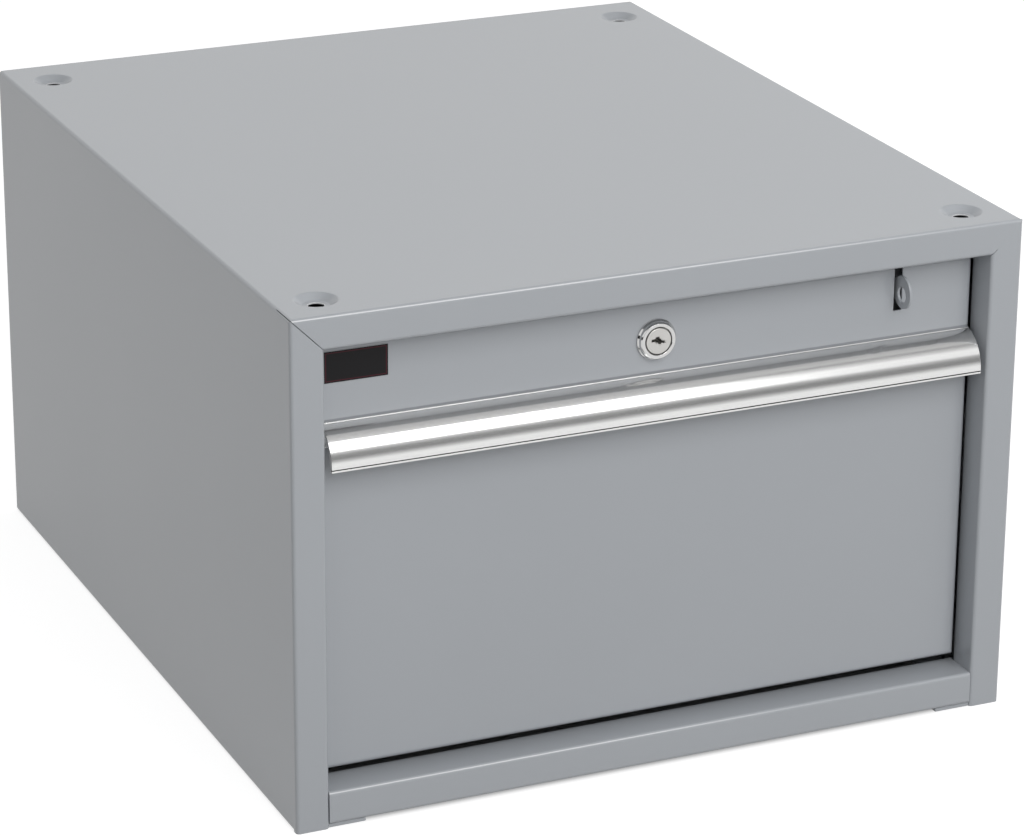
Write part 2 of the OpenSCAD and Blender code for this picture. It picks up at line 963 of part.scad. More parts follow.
module drawer_inner_front() {
    t = drawer_t;
    color(paint_grey)
        difference() {
            box([-front_x + t, front_back_y - t, front_z0 + t], [front_x - t, front_back_y, front_z1 - t]);
            rod_y(0, lock_z, face_y, front_back_y + over, barrel_r + shank_clear);
            lug_slot();
        }
}

// Floor of the tray, welded in between its sides
module drawer_floor() {
    x = tray_x - drawer_t;
    color(paint_grey)
        box([-x, front_back_y, tray_z0], [x, tray_y1, tray_z0 + drawer_t]);
}

// One side of the tray, with a folded rim and a flange against the drawer front
module drawer_side(side) {
    t = drawer_t;
    color(paint_grey)
        on_side(side)
            difference() {
                union() {
                    along_y(front_back_y, tray_y1)
                        folded([
                            [tray_x, tray_z0],
                            [tray_x, tray_z1],
                            [tray_x - rim_w, tray_z1]
                        ], t, drawer_bend);
                    box([tray_x - t - tray_flange, front_back_y, tray_z0 + t],
                        [tray_x - t / 2, front_back_y + t, tray_z1 - t - drawer_bend]);
                }
                at_slide_rivets()
                    slide_rivet(shank_clear);
            }
}

module drawer_side_left() {
    drawer_side(LEFT);
}

module drawer_side_right() {
    drawer_side(RIGHT);
}

module drawer_back() {
    t = drawer_t;
    x = tray_x - t;
    color(paint_grey) {
        intersection() {
            along_y(tray_y1 - tray_flange - over, tray_y1 + over)
                round_rect(-x, tray_z0 + t, x, tray_z1 - t, drawer_bend);
            along_z(tray_z0 + t, tray_z1 - t)
                folded([
                    [x, tray_y1 - tray_flange],
                    [x, tray_y1],
                    [-x, tray_y1],
                    [-x, tray_y1 - tray_flange]
                ], t, drawer_bend);
        }
        box([-tray_x + rim_w, tray_y1 - rim_w, tray_z1 - t], [tray_x - rim_w, tray_y1, tray_z1]);
    }
}

// Section of the handle in (Y, Z): a quarter curve, its skirt and the leg on the drawer front
module handle_section() {
    r_in = handle_r - handle_wall;
    steps = 14;
    a_top = atan2(handle_rise, face_y - handle_axis_y);
    leg_y = face_y - handle_wall;
    leg_z = handle_axis_z + sqrt(pow(r_in, 2) - pow(handle_axis_y - leg_y, 2));
    a_leg = atan2(leg_z - handle_axis_z, leg_y - handle_axis_y);
    axis = [handle_axis_y, handle_axis_z];
    polygon(concat(
        [[face_y, handle_top_z - handle_leg]],
        [for (i = [0:steps])
            let (a = a_top + (180 - a_top) * i / steps)
            axis + handle_r * [cos(a), sin(a)]],
        [axis + [-handle_r, -handle_skirt]],
        [axis + [-r_in, -handle_skirt]],
        [for (i = [0:steps])
            let (a = 180 + (a_leg - 180) * i / steps)
            axis + r_in * [cos(a), sin(a)]],
        [[leg_y, handle_top_z - handle_leg]]
    ));
}

module pull_handle() {
    color(bright_metal)
        difference() {
            along_x(-handle_len / 2, handle_len / 2)
                handle_section();
            at_handle_rivets()
                rivet_shank(shank_clear);
        }
}

module handle_rivets() {
    leg_y = face_y - handle_wall;
    behind_y = face_y + drawer_t;
    color(zinc_grey)
        at_handle_rivets() {
            rivet_shank(0);
            cone_y(0, 0, leg_y - rivet_head_t, leg_y, rivet_r, rivet_r + 1.6);
            cone_y(0, 0, behind_y, behind_y + rivet_head_t, rivet_r + 1.6, rivet_r);
        }
}

module label_plate() {
    x = -front_x + front_bend + drawer_t + label_side;
    z = front_z1 - front_bend - drawer_t - label_top;
    color(label_black)
        box([x, face_y - label_t, z - label_h], [x + label_w, face_y, z]);
}

// ---------- Lock ----------

module lock_barrel() {
    color(bright_metal)
        difference() {
            union() {
                cone_y(0, lock_z, collar_face_y, face_y, collar_face_r, collar_r);
                rod_y(0, lock_z, face_y - over / 2, barrel_end_y, barrel_r);
            }
            rod_y(0, lock_z, collar_face_y - over, collar_face_y + plug_head_len + plug_clear, plug_r + plug_clear);
            rod_y(0, lock_z, collar_face_y, barrel_end_y + over, plug_tail_r + plug_clear);
        }
}

module lock_nut() {
    color(zinc_grey)
        difference() {
            translate([0, front_back_y, lock_z])
                rotate([-90, 0, 0])
                    cylinder(h = nut_t, r = nut_af / 2 / cos(30), $fn = 6);
            rod_y(0, lock_z, front_back_y - over, front_back_y + nut_t + over, barrel_r + shank_clear);
        }
}

// Stepped slot for the key, drawn in (X, Z) about the plug's centre
module keyway_section() {
    half = keyway_w / 2;
    h = keyway_h / 2;
    step = h * 1.1;
    polygon([
        [-half, h + step / 2],
        [-half * 0.35, h + step / 2],
        [-half * 0.2, h],
        [half * 0.3, h],
        [half * 0.45, h - step],
        [half, h - step],
        [half, -h - step / 2],
        [half * 0.2, -h - step / 2],
        [half * 0.05, -h],
        [-half * 0.35, -h],
        [-half * 0.5, -h + step],
        [-half, -h + step]
    ]);
}

module lock_plug() {
    stem_end_y = cam_y1;
    color(bright_metal)
        difference() {
            union() {
                rod_y(0, lock_z, collar_face_y, collar_face_y + plug_head_len, plug_r);
                rod_y(0, lock_z, collar_face_y + over, barrel_end_y, plug_tail_r);
                intersection() {
                    rod_y(0, lock_z, collar_face_y + over, stem_end_y, stem_r);
                    box([-stem_flat, collar_face_y, lock_z - stem_r], [stem_flat, stem_end_y, lock_z + stem_r]);
                }
                rod_y(0, lock_z, barrel_end_y - over, cam_y0, stem_r);
            }
            translate([0, 0, lock_z])
                along_y(collar_face_y - over, collar_face_y + keyway_depth)
                    keyway_section();
            rod_y(0, lock_z, stem_end_y - 8, stem_end_y + over, cam_screw_r + shank_clear);
        }
}

// Cam, lying sideways when the lock is open, with a hole that fits the plug's flatted stem
module lock_cam() {
    half = cam_w / 2;
    color(zinc_grey)
        difference() {
            union() {
                rod_y(0, lock_z, cam_y0, cam_y1, half);
                box([-cam_len + half / 2, cam_y0, lock_z - half], [0, cam_y1, lock_z + half]);
                rod_y(-cam_len + half / 2, lock_z + half / 2, cam_y0, cam_y1, half / 2);
                rod_y(-cam_len + half / 2, lock_z - half / 2, cam_y0, cam_y1, half / 2);
                box([-cam_len, cam_y0, lock_z - half / 2], [-half, cam_y1, lock_z + half / 2]);
            }
            intersection() {
                rod_y(0, lock_z, cam_y0 - over, cam_y1 + over, stem_r + shank_clear);
                box([-stem_flat - shank_clear, cam_y0 - over, lock_z - half],
                    [stem_flat + shank_clear, cam_y1 + over, lock_z + half]);
            }
        }
}

module cam_screw() {
    color(zinc_grey) {
        rod_y(0, lock_z, cam_y1 - 7, cam_y1 + over / 2, cam_screw_r);
        cone_y(0, lock_z, cam_y1, cam_y1 + cam_screw_head_t, cam_screw_head_r, cam_screw_head_r - 0.8);
    }
}

// Plate that hangs from the top of the case, in front of the turned-up cam
module lock_strike() {
    color(zinc_grey)
        along_x(-strike_w / 2, strike_w / 2)
            folded([
                [strike_y0 + strike_foot, roof_z],
                [strike_y0, roof_z],
                [strike_y0, strike_z0]
            ], strike_t, case_bend);
}

// ---------- Padlock lug ----------

module padlock_lug() {
    x0 = lug_x - lug_t / 2;
    x1 = lug_x + lug_t / 2;
    post_y1 = lug_post_y + lug_post;
    color(zinc_grey)
        difference() {
            union() {
                rod_x(lug_nose_y, lug_z, x0, x1, lug_r);
                box([x0, lug_nose_y, lug_z - lug_neck / 2], [x1, post_y1, lug_z + lug_neck / 2]);
                box([x0, lug_post_y, lug_bottom], [x1, post_y1, roof_z]);
                box([x0, lug_post_y, roof_z - lug_t], [x0 + lug_foot, post_y1, roof_z]);
            }
            rod_x(lug_nose_y, lug_z - eye_drop, x0 - over, x1 + over, eye_r);
        }
}

case_shell();
back_panel();
bottom_front_rail();
bottom_rear_rail();
corner_plate_front_left();
corner_plate_front_right();
corner_plate_rear_left();
corner_plate_rear_right();
slide_bracket_front_left();
slide_bracket_front_right();
slide_bracket_rear_left();
slide_bracket_rear_right();
cabinet_member_left();
cabinet_member_right();
cabinet_slide_screws();
slide_stop_left();
slide_stop_right();
middle_member_left();
middle_member_right();
outer_ball_cage_left();
outer_ball_cage_right();
inner_ball_cage_left();
inner_ball_cage_right();
outer_balls_left();
outer_balls_right();
inner_balls_left();
inner_balls_right();
drawer_member_left();
drawer_member_right();
drawer_slide_rivets();
drawer_front();
drawer_inner_front();
drawer_floor();
drawer_side_left();
drawer_side_right();
drawer_back();
pull_handle();
handle_rivets();
label_plate();
lock_barrel();
lock_nut();
lock_plug();
lock_cam();
cam_screw();
lock_strike();
padlock_lug();
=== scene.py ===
"""Looks of the stackable drawer box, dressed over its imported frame.

Every piece is in metres and in the frame's own axes: X along the front, Y towards the back
and Z up. A piece's object stays at the origin, with its place in its mesh.
"""

import logging
import math
from dataclasses import dataclass
from enum import Enum
from typing import Any, Callable, Iterable, Mapping, Sequence

import bmesh
import bpy
from mathutils import Matrix, Vector
from mathutils.geometry import delaunay_2d_cdt


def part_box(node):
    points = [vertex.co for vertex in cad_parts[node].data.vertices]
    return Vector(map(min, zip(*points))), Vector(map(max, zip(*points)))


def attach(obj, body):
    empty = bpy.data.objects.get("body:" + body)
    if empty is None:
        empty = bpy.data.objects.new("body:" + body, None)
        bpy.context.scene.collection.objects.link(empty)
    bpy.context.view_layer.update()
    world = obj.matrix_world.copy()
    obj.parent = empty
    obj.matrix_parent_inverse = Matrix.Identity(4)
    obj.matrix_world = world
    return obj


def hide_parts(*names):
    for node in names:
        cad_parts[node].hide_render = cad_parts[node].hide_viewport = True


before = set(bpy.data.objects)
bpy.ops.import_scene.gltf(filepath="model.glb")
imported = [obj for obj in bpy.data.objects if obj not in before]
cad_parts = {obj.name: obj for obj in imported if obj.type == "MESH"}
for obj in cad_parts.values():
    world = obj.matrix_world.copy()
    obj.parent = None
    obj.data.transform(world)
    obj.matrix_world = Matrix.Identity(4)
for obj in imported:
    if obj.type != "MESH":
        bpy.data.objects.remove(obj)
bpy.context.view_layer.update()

LOG = logging.getLogger("drawer_box")
MM = 0.001
Pair = tuple[float, float]
RGB = tuple[float, float, float]
Triple = tuple[float, float, float]
ALONG_Y = (0, 1, 0)
ON_AXIS = 1e-9
SAME_POINT = 0.001 * MM
ALL_SMOOTH = 180.0
FOLDED_SHARE = 0.01
FILL_SLACK = 1e-7
NEVER_ZERO = 1e-6


class Body(str, Enum):
    """Moving bodies of the frame."""

    CABINET = "cabinet"
    DRAWER = "drawer"
    MIDDLE_LEFT = "middle_member_left"
    MIDDLE_RIGHT = "middle_member_right"
    OUTER_CAGE_LEFT = "outer_cage_left"
    OUTER_CAGE_RIGHT = "outer_cage_right"
    INNER_CAGE_LEFT = "inner_cage_left"
    INNER_CAGE_RIGHT = "inner_cage_right"
    LOCK = "lock_cylinder"


class Slot(str, Enum):
    """Material slots of the record."""

    CASE = "case_paint"
    DRAWER = "drawer_paint"
    ZINC = "zinc_plate"
    CAGE = "cage_steel"
    BALL = "ball_steel"
    SLIDE = "slide_steel"
    HANDLE = "handle_aluminium"
    LOCK = "lock_chrome"
    STOP = "stop_rubber"
    LABEL = "label_film"


class Side(Enum):
    """Left and right of the box, as the sign of X."""

    LEFT = -1
    RIGHT = 1


# ---------------------------------------------------------------------------
# Node trees
# ---------------------------------------------------------------------------


class Signal:
    """One output of a node. Arithmetic on it adds Math nodes to its tree."""

    def __init__(self, sheet: "NodeSheet", socket: bpy.types.NodeSocket) -> None:
        """Keeps the tree and the output that this signal stands for."""
        self.sheet = sheet
        self.socket = socket

    def maths(self, operation: str, *others: "Signal | float", swapped: bool = False) -> "Signal":
        """Adds one Math node.

        Args:
            operation: the node's operation.
            others: its further inputs.
            swapped: puts this signal after the first of the others.

        Returns:
            The node's result.
        """
        order = [self, *others]
        if swapped:
            order[0], order[1] = order[1], order[0]
        return self.sheet.node("ShaderNodeMath", dict(enumerate(order)), operation=operation)

    def __add__(self, other: "Signal | float") -> "Signal":
        """Sum."""
        return self.maths("ADD", other)

    def __radd__(self, other: float) -> "Signal":
        """Sum, with a number first."""
        return self.maths("ADD", other)

    def __sub__(self, other: "Signal | float") -> "Signal":
        """Difference."""
        return self.maths("SUBTRACT", other)

    def __rsub__(self, other: float) -> "Signal":
        """Difference, with a number first."""
        return self.maths("SUBTRACT", other, swapped=True)

    def __mul__(self, other: "Signal | float") -> "Signal":
        """Product."""
        return self.maths("MULTIPLY", other)

    def __gt__(self, other: "Signal | float") -> "Signal":
        """1 where this signal is the larger one, else 0."""
        return self.maths("GREATER_THAN", other)

    def __lt__(self, other: "Signal | float") -> "Signal":
        """1 where this signal is the smaller one, else 0."""
        return self.maths("LESS_THAN", other)

    def __abs__(self) -> "Signal":
        """Size without its sign."""
        return self.maths("ABSOLUTE")

    def at_least(self, other: "Signal | float") -> "Signal":
        """The larger of this signal and another."""
        return self.maths("MAXIMUM", other)

    def ramp(self, low: float, high: float) -> "Signal":
        """Smooth step from 0 at low to 1 at high."""
        return self.sheet.node(
            "ShaderNodeMapRange",
            {"Value": self, "From Min": low, "From Max": high},
            interpolation_type="SMOOTHSTEP",
        )


Value = Signal | float | int | bool | Sequence[float] | bpy.types.ID


class NodeSheet:
    """A node tree, with one method that makes its nodes."""

    def __init__(self, tree: bpy.types.NodeTree) -> None:
        """Takes over an empty tree."""
        self.tree = tree

    @staticmethod
    def pick(sockets: Any, key: int | str) -> bpy.types.NodeSocket:
        """Finds a socket.

        Args:
            sockets: a node's inputs or outputs.
            key: the socket's index, identifier or name.

        Returns:
            The socket.
        """
        if isinstance(key, int):
            return sockets[key]
        for socket in sockets:
            if socket.identifier == key:
                return socket
        return next(s for s in sockets if s.name == key and s.enabled)

    def node(
        self,
        kind: str,
        inputs: Mapping[int | str, Value] | None = None,
        out: int | str = 0,
        stops: Sequence[tuple[float, Sequence[float]]] = (),
        **settings: Any,
    ) -> Signal:
        """Makes a node.

        Args:
            kind: the node's type.
            inputs: values or links, by the socket's index, identifier or name.
            out: the output that is wanted.
            stops: a colour ramp's places and colours.
            settings: the node's own settings, set before its sockets.

        Returns:
            The wanted output.
        """
        made = self.tree.nodes.new(kind)
        for name, value in settings.items():
            setattr(made, name, value)
        for i, (place, colour) in enumerate(stops):
            row = made.color_ramp.elements
            stop = row[i] if i < 2 else row.new(place)
            stop.position = place
            stop.color = (*colour, 1.0)
        for key, value in (inputs or {}).items():
            socket = self.pick(made.inputs, key)
            if isinstance(value, Signal):
                self.tree.links.new(value.socket, socket)
            else:
                socket.default_value = value
        if not made.outputs:
            return Signal(self, None)
        return Signal(self, self.pick(made.outputs, out))

    def place(self) -> Signal:
        """Object coordinates."""
        return self.node("ShaderNodeTexCoord", out="Object")

    def axes(self) -> tuple[Signal, Signal, Signal]:
        """X, Y and Z of the object's own coordinates."""
        split = self.node("ShaderNodeSeparateXYZ", {0: self.place()}).socket.node.outputs
        return Signal(self, split["X"]), Signal(self, split["Y"]), Signal(self, split["Z"])

    def stretched(self, scale: Sequence[float]) -> Signal:
        """Object coordinates, scaled along each axis."""
        return self.node("ShaderNodeMapping", {"Vector": self.place(), "Scale": scale})

    def noise(self, where: Signal, scale: float, detail: float = 2.0, rough: float = 0.5) -> Signal:
        """Noise from 0 to 1."""
        return self.node(
            "ShaderNodeTexNoise",
            {"Vector": where, "Scale": scale, "Detail": detail, "Roughness": rough},
        )

    def blend(self, share: Signal, first: RGB | Signal, second: RGB | Signal) -> Signal:
        """Mixes two colours by a share from 0 to 1."""
        colours = [c if isinstance(c, Signal) else (*c, 1.0) for c in (first, second)]
        return self.node(
            "ShaderNodeMix",
            {"Factor_Float": share, "A_Color": colours[0], "B_Color": colours[1]},
            out="Result_Color",
            data_type="RGBA",
        )

    def bump(self, height: Signal, depth: float, strength: float = 1.0) -> Signal:
        """A normal that follows a height, for a relief of that depth in metres."""
        return self.node(
            "ShaderNodeBump", {"Height": height, "Distance": depth, "Strength": strength}
        )


def empty_sheet(owner: bpy.types.Material | bpy.types.World) -> NodeSheet:
    """Turns on an owner's nodes and clears them.

    Args:
        owner: the material or the world.

    Returns:
        Its empty tree.
    """
    owner.use_nodes = True
    owner.node_tree.nodes.clear()
    return NodeSheet(owner.node_tree)


# ---------------------------------------------------------------------------
# Finishes
# ---------------------------------------------------------------------------


@dataclass(frozen=True)
class Finish:
    """A surface finish, whose material is made once."""

    name: str

    def material(self) -> bpy.types.Material:
        """Finds the finish's material, or makes it on first use.

        Returns:
            The material.
        """
        found = bpy.data.materials.get(self.name)
        if found is not None:
            return found
        made = bpy.data.materials.new(self.name)
        sheet = empty_sheet(made)
        sheet.node("ShaderNodeOutputMaterial", {"Surface": self.surface(sheet)})
        return made

    def surface(self, sheet: NodeSheet) -> Signal:
        """Adds the finish's nodes and returns its shader."""
        raise NotImplementedError


@dataclass(frozen=True)
class PowderCoat(Finish):
    """Satin powder coat with a fine, slightly uneven grain."""

    colour: RGB = (0.40, 0.42, 0.446)
    shade: float = 0.035
    roughness: float = 0.42
    relief: float = 0.03 * MM
    cloud_scale: float = 7.0
    grain_scale: float = 1500.0
    peel_scale: float = 420.0
    grain_roughness: float = 0.06
    cloud_roughness: float = 0.08
    ior: float = 1.48
    gloss: float = 0.5
    gloss_roughness: float = 0.16
    # painted highlight: a lighter colour on fold lines and round the holes' edges, where the lamp's highlight
    # falls
    painted_highlight: RGB = (0.66, 0.67, 0.685)
    painted_highlight_folds: tuple[Pair, ...] = ()
    painted_highlight_reach: Pair = (0.14 * MM, 0.5 * MM)
    painted_highlight_until: Pair = (0.02, 0.15)
    painted_highlight_fade: float = 0.85
    painted_glint_rings: tuple[Triple, ...] = ()
    # painted shade: a dark line along X where a part shades the coat
    painted_shade: RGB = (0.17, 0.18, 0.195)
    painted_shade_lines: tuple[Pair, ...] = ()
    painted_shade_reach: Pair = (0.4 * MM, 1.1 * MM)
    painted_shade_share: float = 0.7

    def surface(self, sheet: NodeSheet) -> Signal:
        """Colour clouds over decimetres, grain over half a millimetre, painted highlight lines and glints,
        and painted shade lines.

        Args:
            sheet: the material's nodes.

        Returns:
            The coat's shader.
        """
        where = sheet.place()
        cloud = sheet.noise(where, self.cloud_scale, 3.0, 0.55)
        grain = sheet.noise(where, self.grain_scale, 2.0, 0.6)
        peel = sheet.noise(where, self.peel_scale, 1.0)
        darker = tuple(c * (1 - self.shade) for c in self.colour)
        lighter = tuple(c * (1 + self.shade) for c in self.colour)
        share = cloud * 0.75 + grain * 0.25
        height = grain * 0.6 + peel * 0.4
        colour = sheet.blend(share, darker, lighter)
        least = self.roughness - (self.cloud_roughness + self.grain_roughness) / 2
        rough = least + cloud * self.cloud_roughness + grain * self.grain_roughness
        # painted highlight: lighter colour on the fold lines and round the holes' edges, broken by the grain
        # and fading along X
        painted_highlight_grain = 0.7 + grain * 0.5
        painted_highlight_fading = 1.0 - sheet.axes()[0].ramp(*self.painted_highlight_until) * self.painted_highlight_fade
        for fold in self.painted_highlight_folds:
            share = self.near_fold(sheet, fold, self.painted_highlight_reach) * painted_highlight_grain * painted_highlight_fading
            colour = sheet.blend(share, colour, self.painted_highlight)
        for rim in self.painted_glint_rings:
            colour = sheet.blend(self.near_ring(sheet, rim) * painted_highlight_grain, colour, self.painted_highlight)
        # painted shade: a darker line along X, beside a fold
        for fold in self.painted_shade_lines:
            share = self.near_fold(sheet, fold, self.painted_shade_reach) * self.painted_shade_share
            colour = sheet.blend(share, colour, self.painted_shade)
        return sheet.node(
            "ShaderNodeBsdfPrincipled",
            {
                "Base Color": colour,
                "Roughness": rough,
                "Normal": sheet.bump(height, self.relief, 0.6),
                "IOR": self.ior,
                "Coat Weight": self.gloss,
                "Coat Roughness": self.gloss_roughness,
            },
        )

    def near_fold(self, sheet: NodeSheet, fold: Pair, reach: Pair) -> Signal:
        """1 on a line along X, falling to 0 beside it.

        Args:
            sheet: the material's nodes.
            fold: the line's Y and Z.
            reach: the distances where it starts to fall and where it is gone.

        Returns:
            The share of the line's colour.
        """
        _, y, z = sheet.axes()
        across, above = y - fold[0], z - fold[1]
        return 1.0 - (across * across + above * above).maths("SQRT").ramp(*reach)

    def near_ring(self, sheet: NodeSheet, rim: Triple) -> Signal:
        """1 on the edge of a hole through the top and of its mirror image, falling to 0 beside it.

        Args:
            sheet: the material's nodes.
            rim: X and Y of the hole's axis, and its radius.

        Returns:
            The share of painted glint.
        """
        x, y, _ = sheet.axes()
        across, along = abs(x) - rim[0], y - rim[1]
        away = abs((across * across + along * along).maths("SQRT") - rim[2])
        return 1.0 - away.ramp(*self.painted_highlight_reach)


@dataclass(frozen=True)
class PlatedSteel(Finish):
    """Zinc-plated or bare steel, with rolling lines and a cloudy tint."""

    colour: RGB = (0.60, 0.615, 0.63)
    tint: RGB = (0.56, 0.60, 0.66)
    roughness: float = 0.34
    cloud_scale: float = 26.0
    spangle_scale: float = 340.0
    lines: Triple = (900.0, 18.0, 900.0)
    relief: float = 0.02 * MM
    film: float = 0.0
    film_grey: float = 0.72
    smears: Triple = (60.0, 9.0, 60.0)

    def surface(self, sheet: NodeSheet) -> Signal:
        """Tint from slow noise, fine lines from stretched noise, and smears of a greasy film.

        Args:
            sheet: the material's nodes.

        Returns:
            The steel's shader.
        """
        where = sheet.place()
        cloud = sheet.noise(where, self.cloud_scale, 3.0, 0.6)
        spangle = sheet.noise(where, self.spangle_scale, 2.0)
        line = sheet.noise(sheet.stretched(self.lines), 1.0, 2.0, 0.6)
        smear = sheet.noise(sheet.stretched(self.smears), 1.0, 3.0, 0.6).ramp(0.45, 0.72)
        colour = sheet.blend(cloud.ramp(0.35, 0.7), self.colour, self.tint)
        dull = tuple(c * self.film_grey for c in self.colour)
        rough = self.roughness - 0.1 + line * 0.12 + spangle * 0.08 + smear * (0.1 * self.film)
        return sheet.node(
            "ShaderNodeBsdfPrincipled",
            {
                "Base Color": sheet.blend(smear * self.film, colour, dull),
                "Metallic": 1.0,
                "Roughness": rough,
                "Normal": sheet.bump(line * 0.6 + spangle * 0.4, self.relief, 0.5),
            },
        )


@dataclass(frozen=True)
class BrightMetal(Finish):
    """Polished metal: a bright extrusion, chrome plate, or a ball."""

    colour: RGB = (0.86, 0.865, 0.87)
    roughness: float = 0.13
    spread: float = 0.08
    lines: Triple = (6.0, 1400.0, 1400.0)
    line_grey: float = 0.94
    cloud_scale: float = 45.0
    relief: float = 0.006 * MM
    haze: float = 0.0
    haze_roughness: float = 0.55

    def surface(self, sheet: NodeSheet) -> Signal:
        """Fine lines along the metal, faint clouds of handling, and a share of broad haze.

        Args:
            sheet: the material's nodes.

        Returns:
            The metal's shader.
        """
        line = sheet.noise(sheet.stretched(self.lines), 1.0, 2.0, 0.55)
        cloud = sheet.noise(sheet.place(), self.cloud_scale, 3.0, 0.6)
        darker = tuple(c * self.line_grey for c in self.colour)
        colour = self.darkened(sheet, sheet.blend(line, darker, self.colour))
        rough = self.roughness - 0.5 * self.spread + line * self.spread + cloud * (0.5 * self.spread)
        fixed = {"Base Color": colour, "Metallic": 1.0, "Normal": sheet.bump(line, self.relief, 0.5)}
        clear = sheet.node("ShaderNodeBsdfPrincipled", {**fixed, "Roughness": rough})
        if not self.haze:
            return clear
        dull = sheet.node("ShaderNodeBsdfPrincipled", {**fixed, "Roughness": self.haze_roughness})
        return sheet.node("ShaderNodeMixShader", {0: self.haze, 1: clear, 2: dull})

    def darkened(self, sheet: NodeSheet, colour: Signal) -> Signal:
        """The colour with any painted shade on it; plain metal has none."""
        return colour


@dataclass(frozen=True)
class GroovedMetal(BrightMetal):
    """Bright metal with painted shade in a groove that runs along X, and dark sawn ends."""

    groove_z: Pair = (208.46 * MM, 209.02 * MM)
    groove_y: Pair = (-253.65 * MM, -252.45 * MM)
    # painted shade in the groove, and the near-black of the sawn ends
    groove_shade_and_end_dark: RGB = (0.035, 0.035, 0.036)
    sawn_x: float = 196.2 * MM

    def darkened(self, sheet: NodeSheet, colour: Signal) -> Signal:
        """Painted shade between the groove's flanks, behind the front face, and the same dark on the sawn
        ends.

        Args:
            sheet: the material's nodes.
            colour: the clean metal's colour.

        Returns:
            The colour with the painted shade and the dark ends on it.
        """
        x, y, z = sheet.axes()
        inside = (z > self.groove_z[0]) * (z < self.groove_z[1])
        behind = (y > self.groove_y[0]) * (y < self.groove_y[1])
        # painted shade in the groove; the sawn ends get the same near-black
        return sheet.blend((inside * behind).at_least(abs(x) > self.sawn_x), colour, self.groove_shade_and_end_dark)


@dataclass(frozen=True)
class Rubber(Finish):
    """Matt black rubber with a moulded grain."""

    colour: RGB = (0.025, 0.025, 0.027)
    grain_scale: float = 1100.0
    relief: float = 0.05 * MM
    dust: float = 1.9
    roughness: Pair = (0.62, 0.84)

    def surface(self, sheet: NodeSheet) -> Signal:
        """Dust in the hollows of the grain.

        Args:
            sheet: the material's nodes.

        Returns:
            The rubber's shader.
        """
        grain = sheet.noise(sheet.place(), self.grain_scale, 2.0, 0.6)
        dusty = tuple(c * self.dust for c in self.colour)
        least, most = self.roughness
        return sheet.node(
            "ShaderNodeBsdfPrincipled",
            {
                "Base Color": sheet.blend(grain, dusty, self.colour),
                "Roughness": least + grain * (most - least),
                "Normal": sheet.bump(grain, self.relief, 0.6),
            },
        )


@dataclass(frozen=True)
class LabelFilm(Finish):
    """Dark film with a thin red line inside its edge and a pale cut edge."""

    low: Pair = (0.0, 0.0)
    high: Pair = (1.0, 1.0)
    field_colour: RGB = (0.004, 0.0035, 0.0045)
    line_colour: RGB = (0.055, 0.007, 0.013)
    edge_colour: RGB = (0.42, 0.42, 0.43)
    line_inset: float = 0.9 * MM
    line_width: float = 0.55 * MM
    edge_width: float = 0.22 * MM
    grain_scale: float = 900.0
    relief: float = 0.01 * MM
    roughness: Pair = (0.42, 0.56)
    ior: float = 1.33

    def surface(self, sheet: NodeSheet) -> Signal:
        """Lines at set distances from the label's edge.

        Args:
            sheet: the material's nodes.

        Returns:
            The film's shader.
        """
        x, _, z = sheet.axes()
        middle = [(a + b) / 2 for a, b in zip(self.low, self.high)]
        half = [(b - a) / 2 for a, b in zip(self.low, self.high)]
        beyond = abs(x - middle[0]) - half[0]
        above = abs(z - middle[1]) - half[1]
        depth = beyond.at_least(above) * -1.0
        line = (depth > self.line_inset) * (depth < self.line_inset + self.line_width)
        grain = sheet.noise(sheet.place(), self.grain_scale, 2.0)
        body = sheet.blend(line, self.field_colour, self.line_colour)
        least, most = self.roughness
        return sheet.node(
            "ShaderNodeBsdfPrincipled",
            {
                "Base Color": sheet.blend(depth < self.edge_width, body, self.edge_colour),
                "Roughness": least + grain * (most - least),
                "Normal": sheet.bump(grain, self.relief, 0.4),
                "IOR": self.ior,
            },
        )


# painted highlight on the top's front fold, and painted glints round the stacking holes
CASE_COAT = PowderCoat(
    "case_powder_coat",
    painted_highlight_folds=((-253.62 * MM, 295.05 * MM),),
    painted_highlight_until=(0.03, 0.22),
    painted_glint_rings=((194.0 * MM, -227.5 * MM, 4.5 * MM), (194.0 * MM, 222.0 * MM, 4.5 * MM)),
)
# painted highlight on the rail's top fold
RAIL_COAT = PowderCoat("rail_powder_coat", painted_highlight_folds=((-253.5 * MM, 20.85 * MM),), painted_highlight_until=(-0.02, 0.12))
# painted shade on the drawer face just above the handle's lip
DRAWER_COAT = PowderCoat(
    "drawer_powder_coat", colour=(0.395, 0.414, 0.44), painted_shade_lines=((-237.5 * MM, 230.8 * MM),)
)
ZINC = PlatedSteel("bright_zinc")
SLIDE_STEEL = PlatedSteel("slide_zinc_with_grease", roughness=0.3, film=0.55)
CAGE_STEEL = PlatedSteel("cage_strip", colour=(0.50, 0.51, 0.52), tint=(0.47, 0.48, 0.5), roughness=0.4)
BALL_STEEL = BrightMetal("polished_ball", colour=(0.76, 0.765, 0.77), roughness=0.06, spread=0.04)
HANDLE_METAL = GroovedMetal(
    "bright_handle_aluminium", colour=(0.80, 0.80, 0.795), roughness=0.12, spread=0.035, haze=0.25
)
CHROME = BrightMetal(
    "lock_chrome_plate", colour=(0.64, 0.64, 0.635), roughness=0.08, spread=0.05, lines=(300.0, 300.0, 300.0)
)
PLUG_METAL = BrightMetal(
    "satin_lock_plug",
    colour=(0.62, 0.612, 0.592),
    roughness=0.3,
    spread=0.3,
    lines=(700.0, 900.0, 350.0),
    relief=0.06 * MM,
)
RUBBER = Rubber("stop_rubber_black")


# ---------------------------------------------------------------------------
# Mesh work
# ---------------------------------------------------------------------------


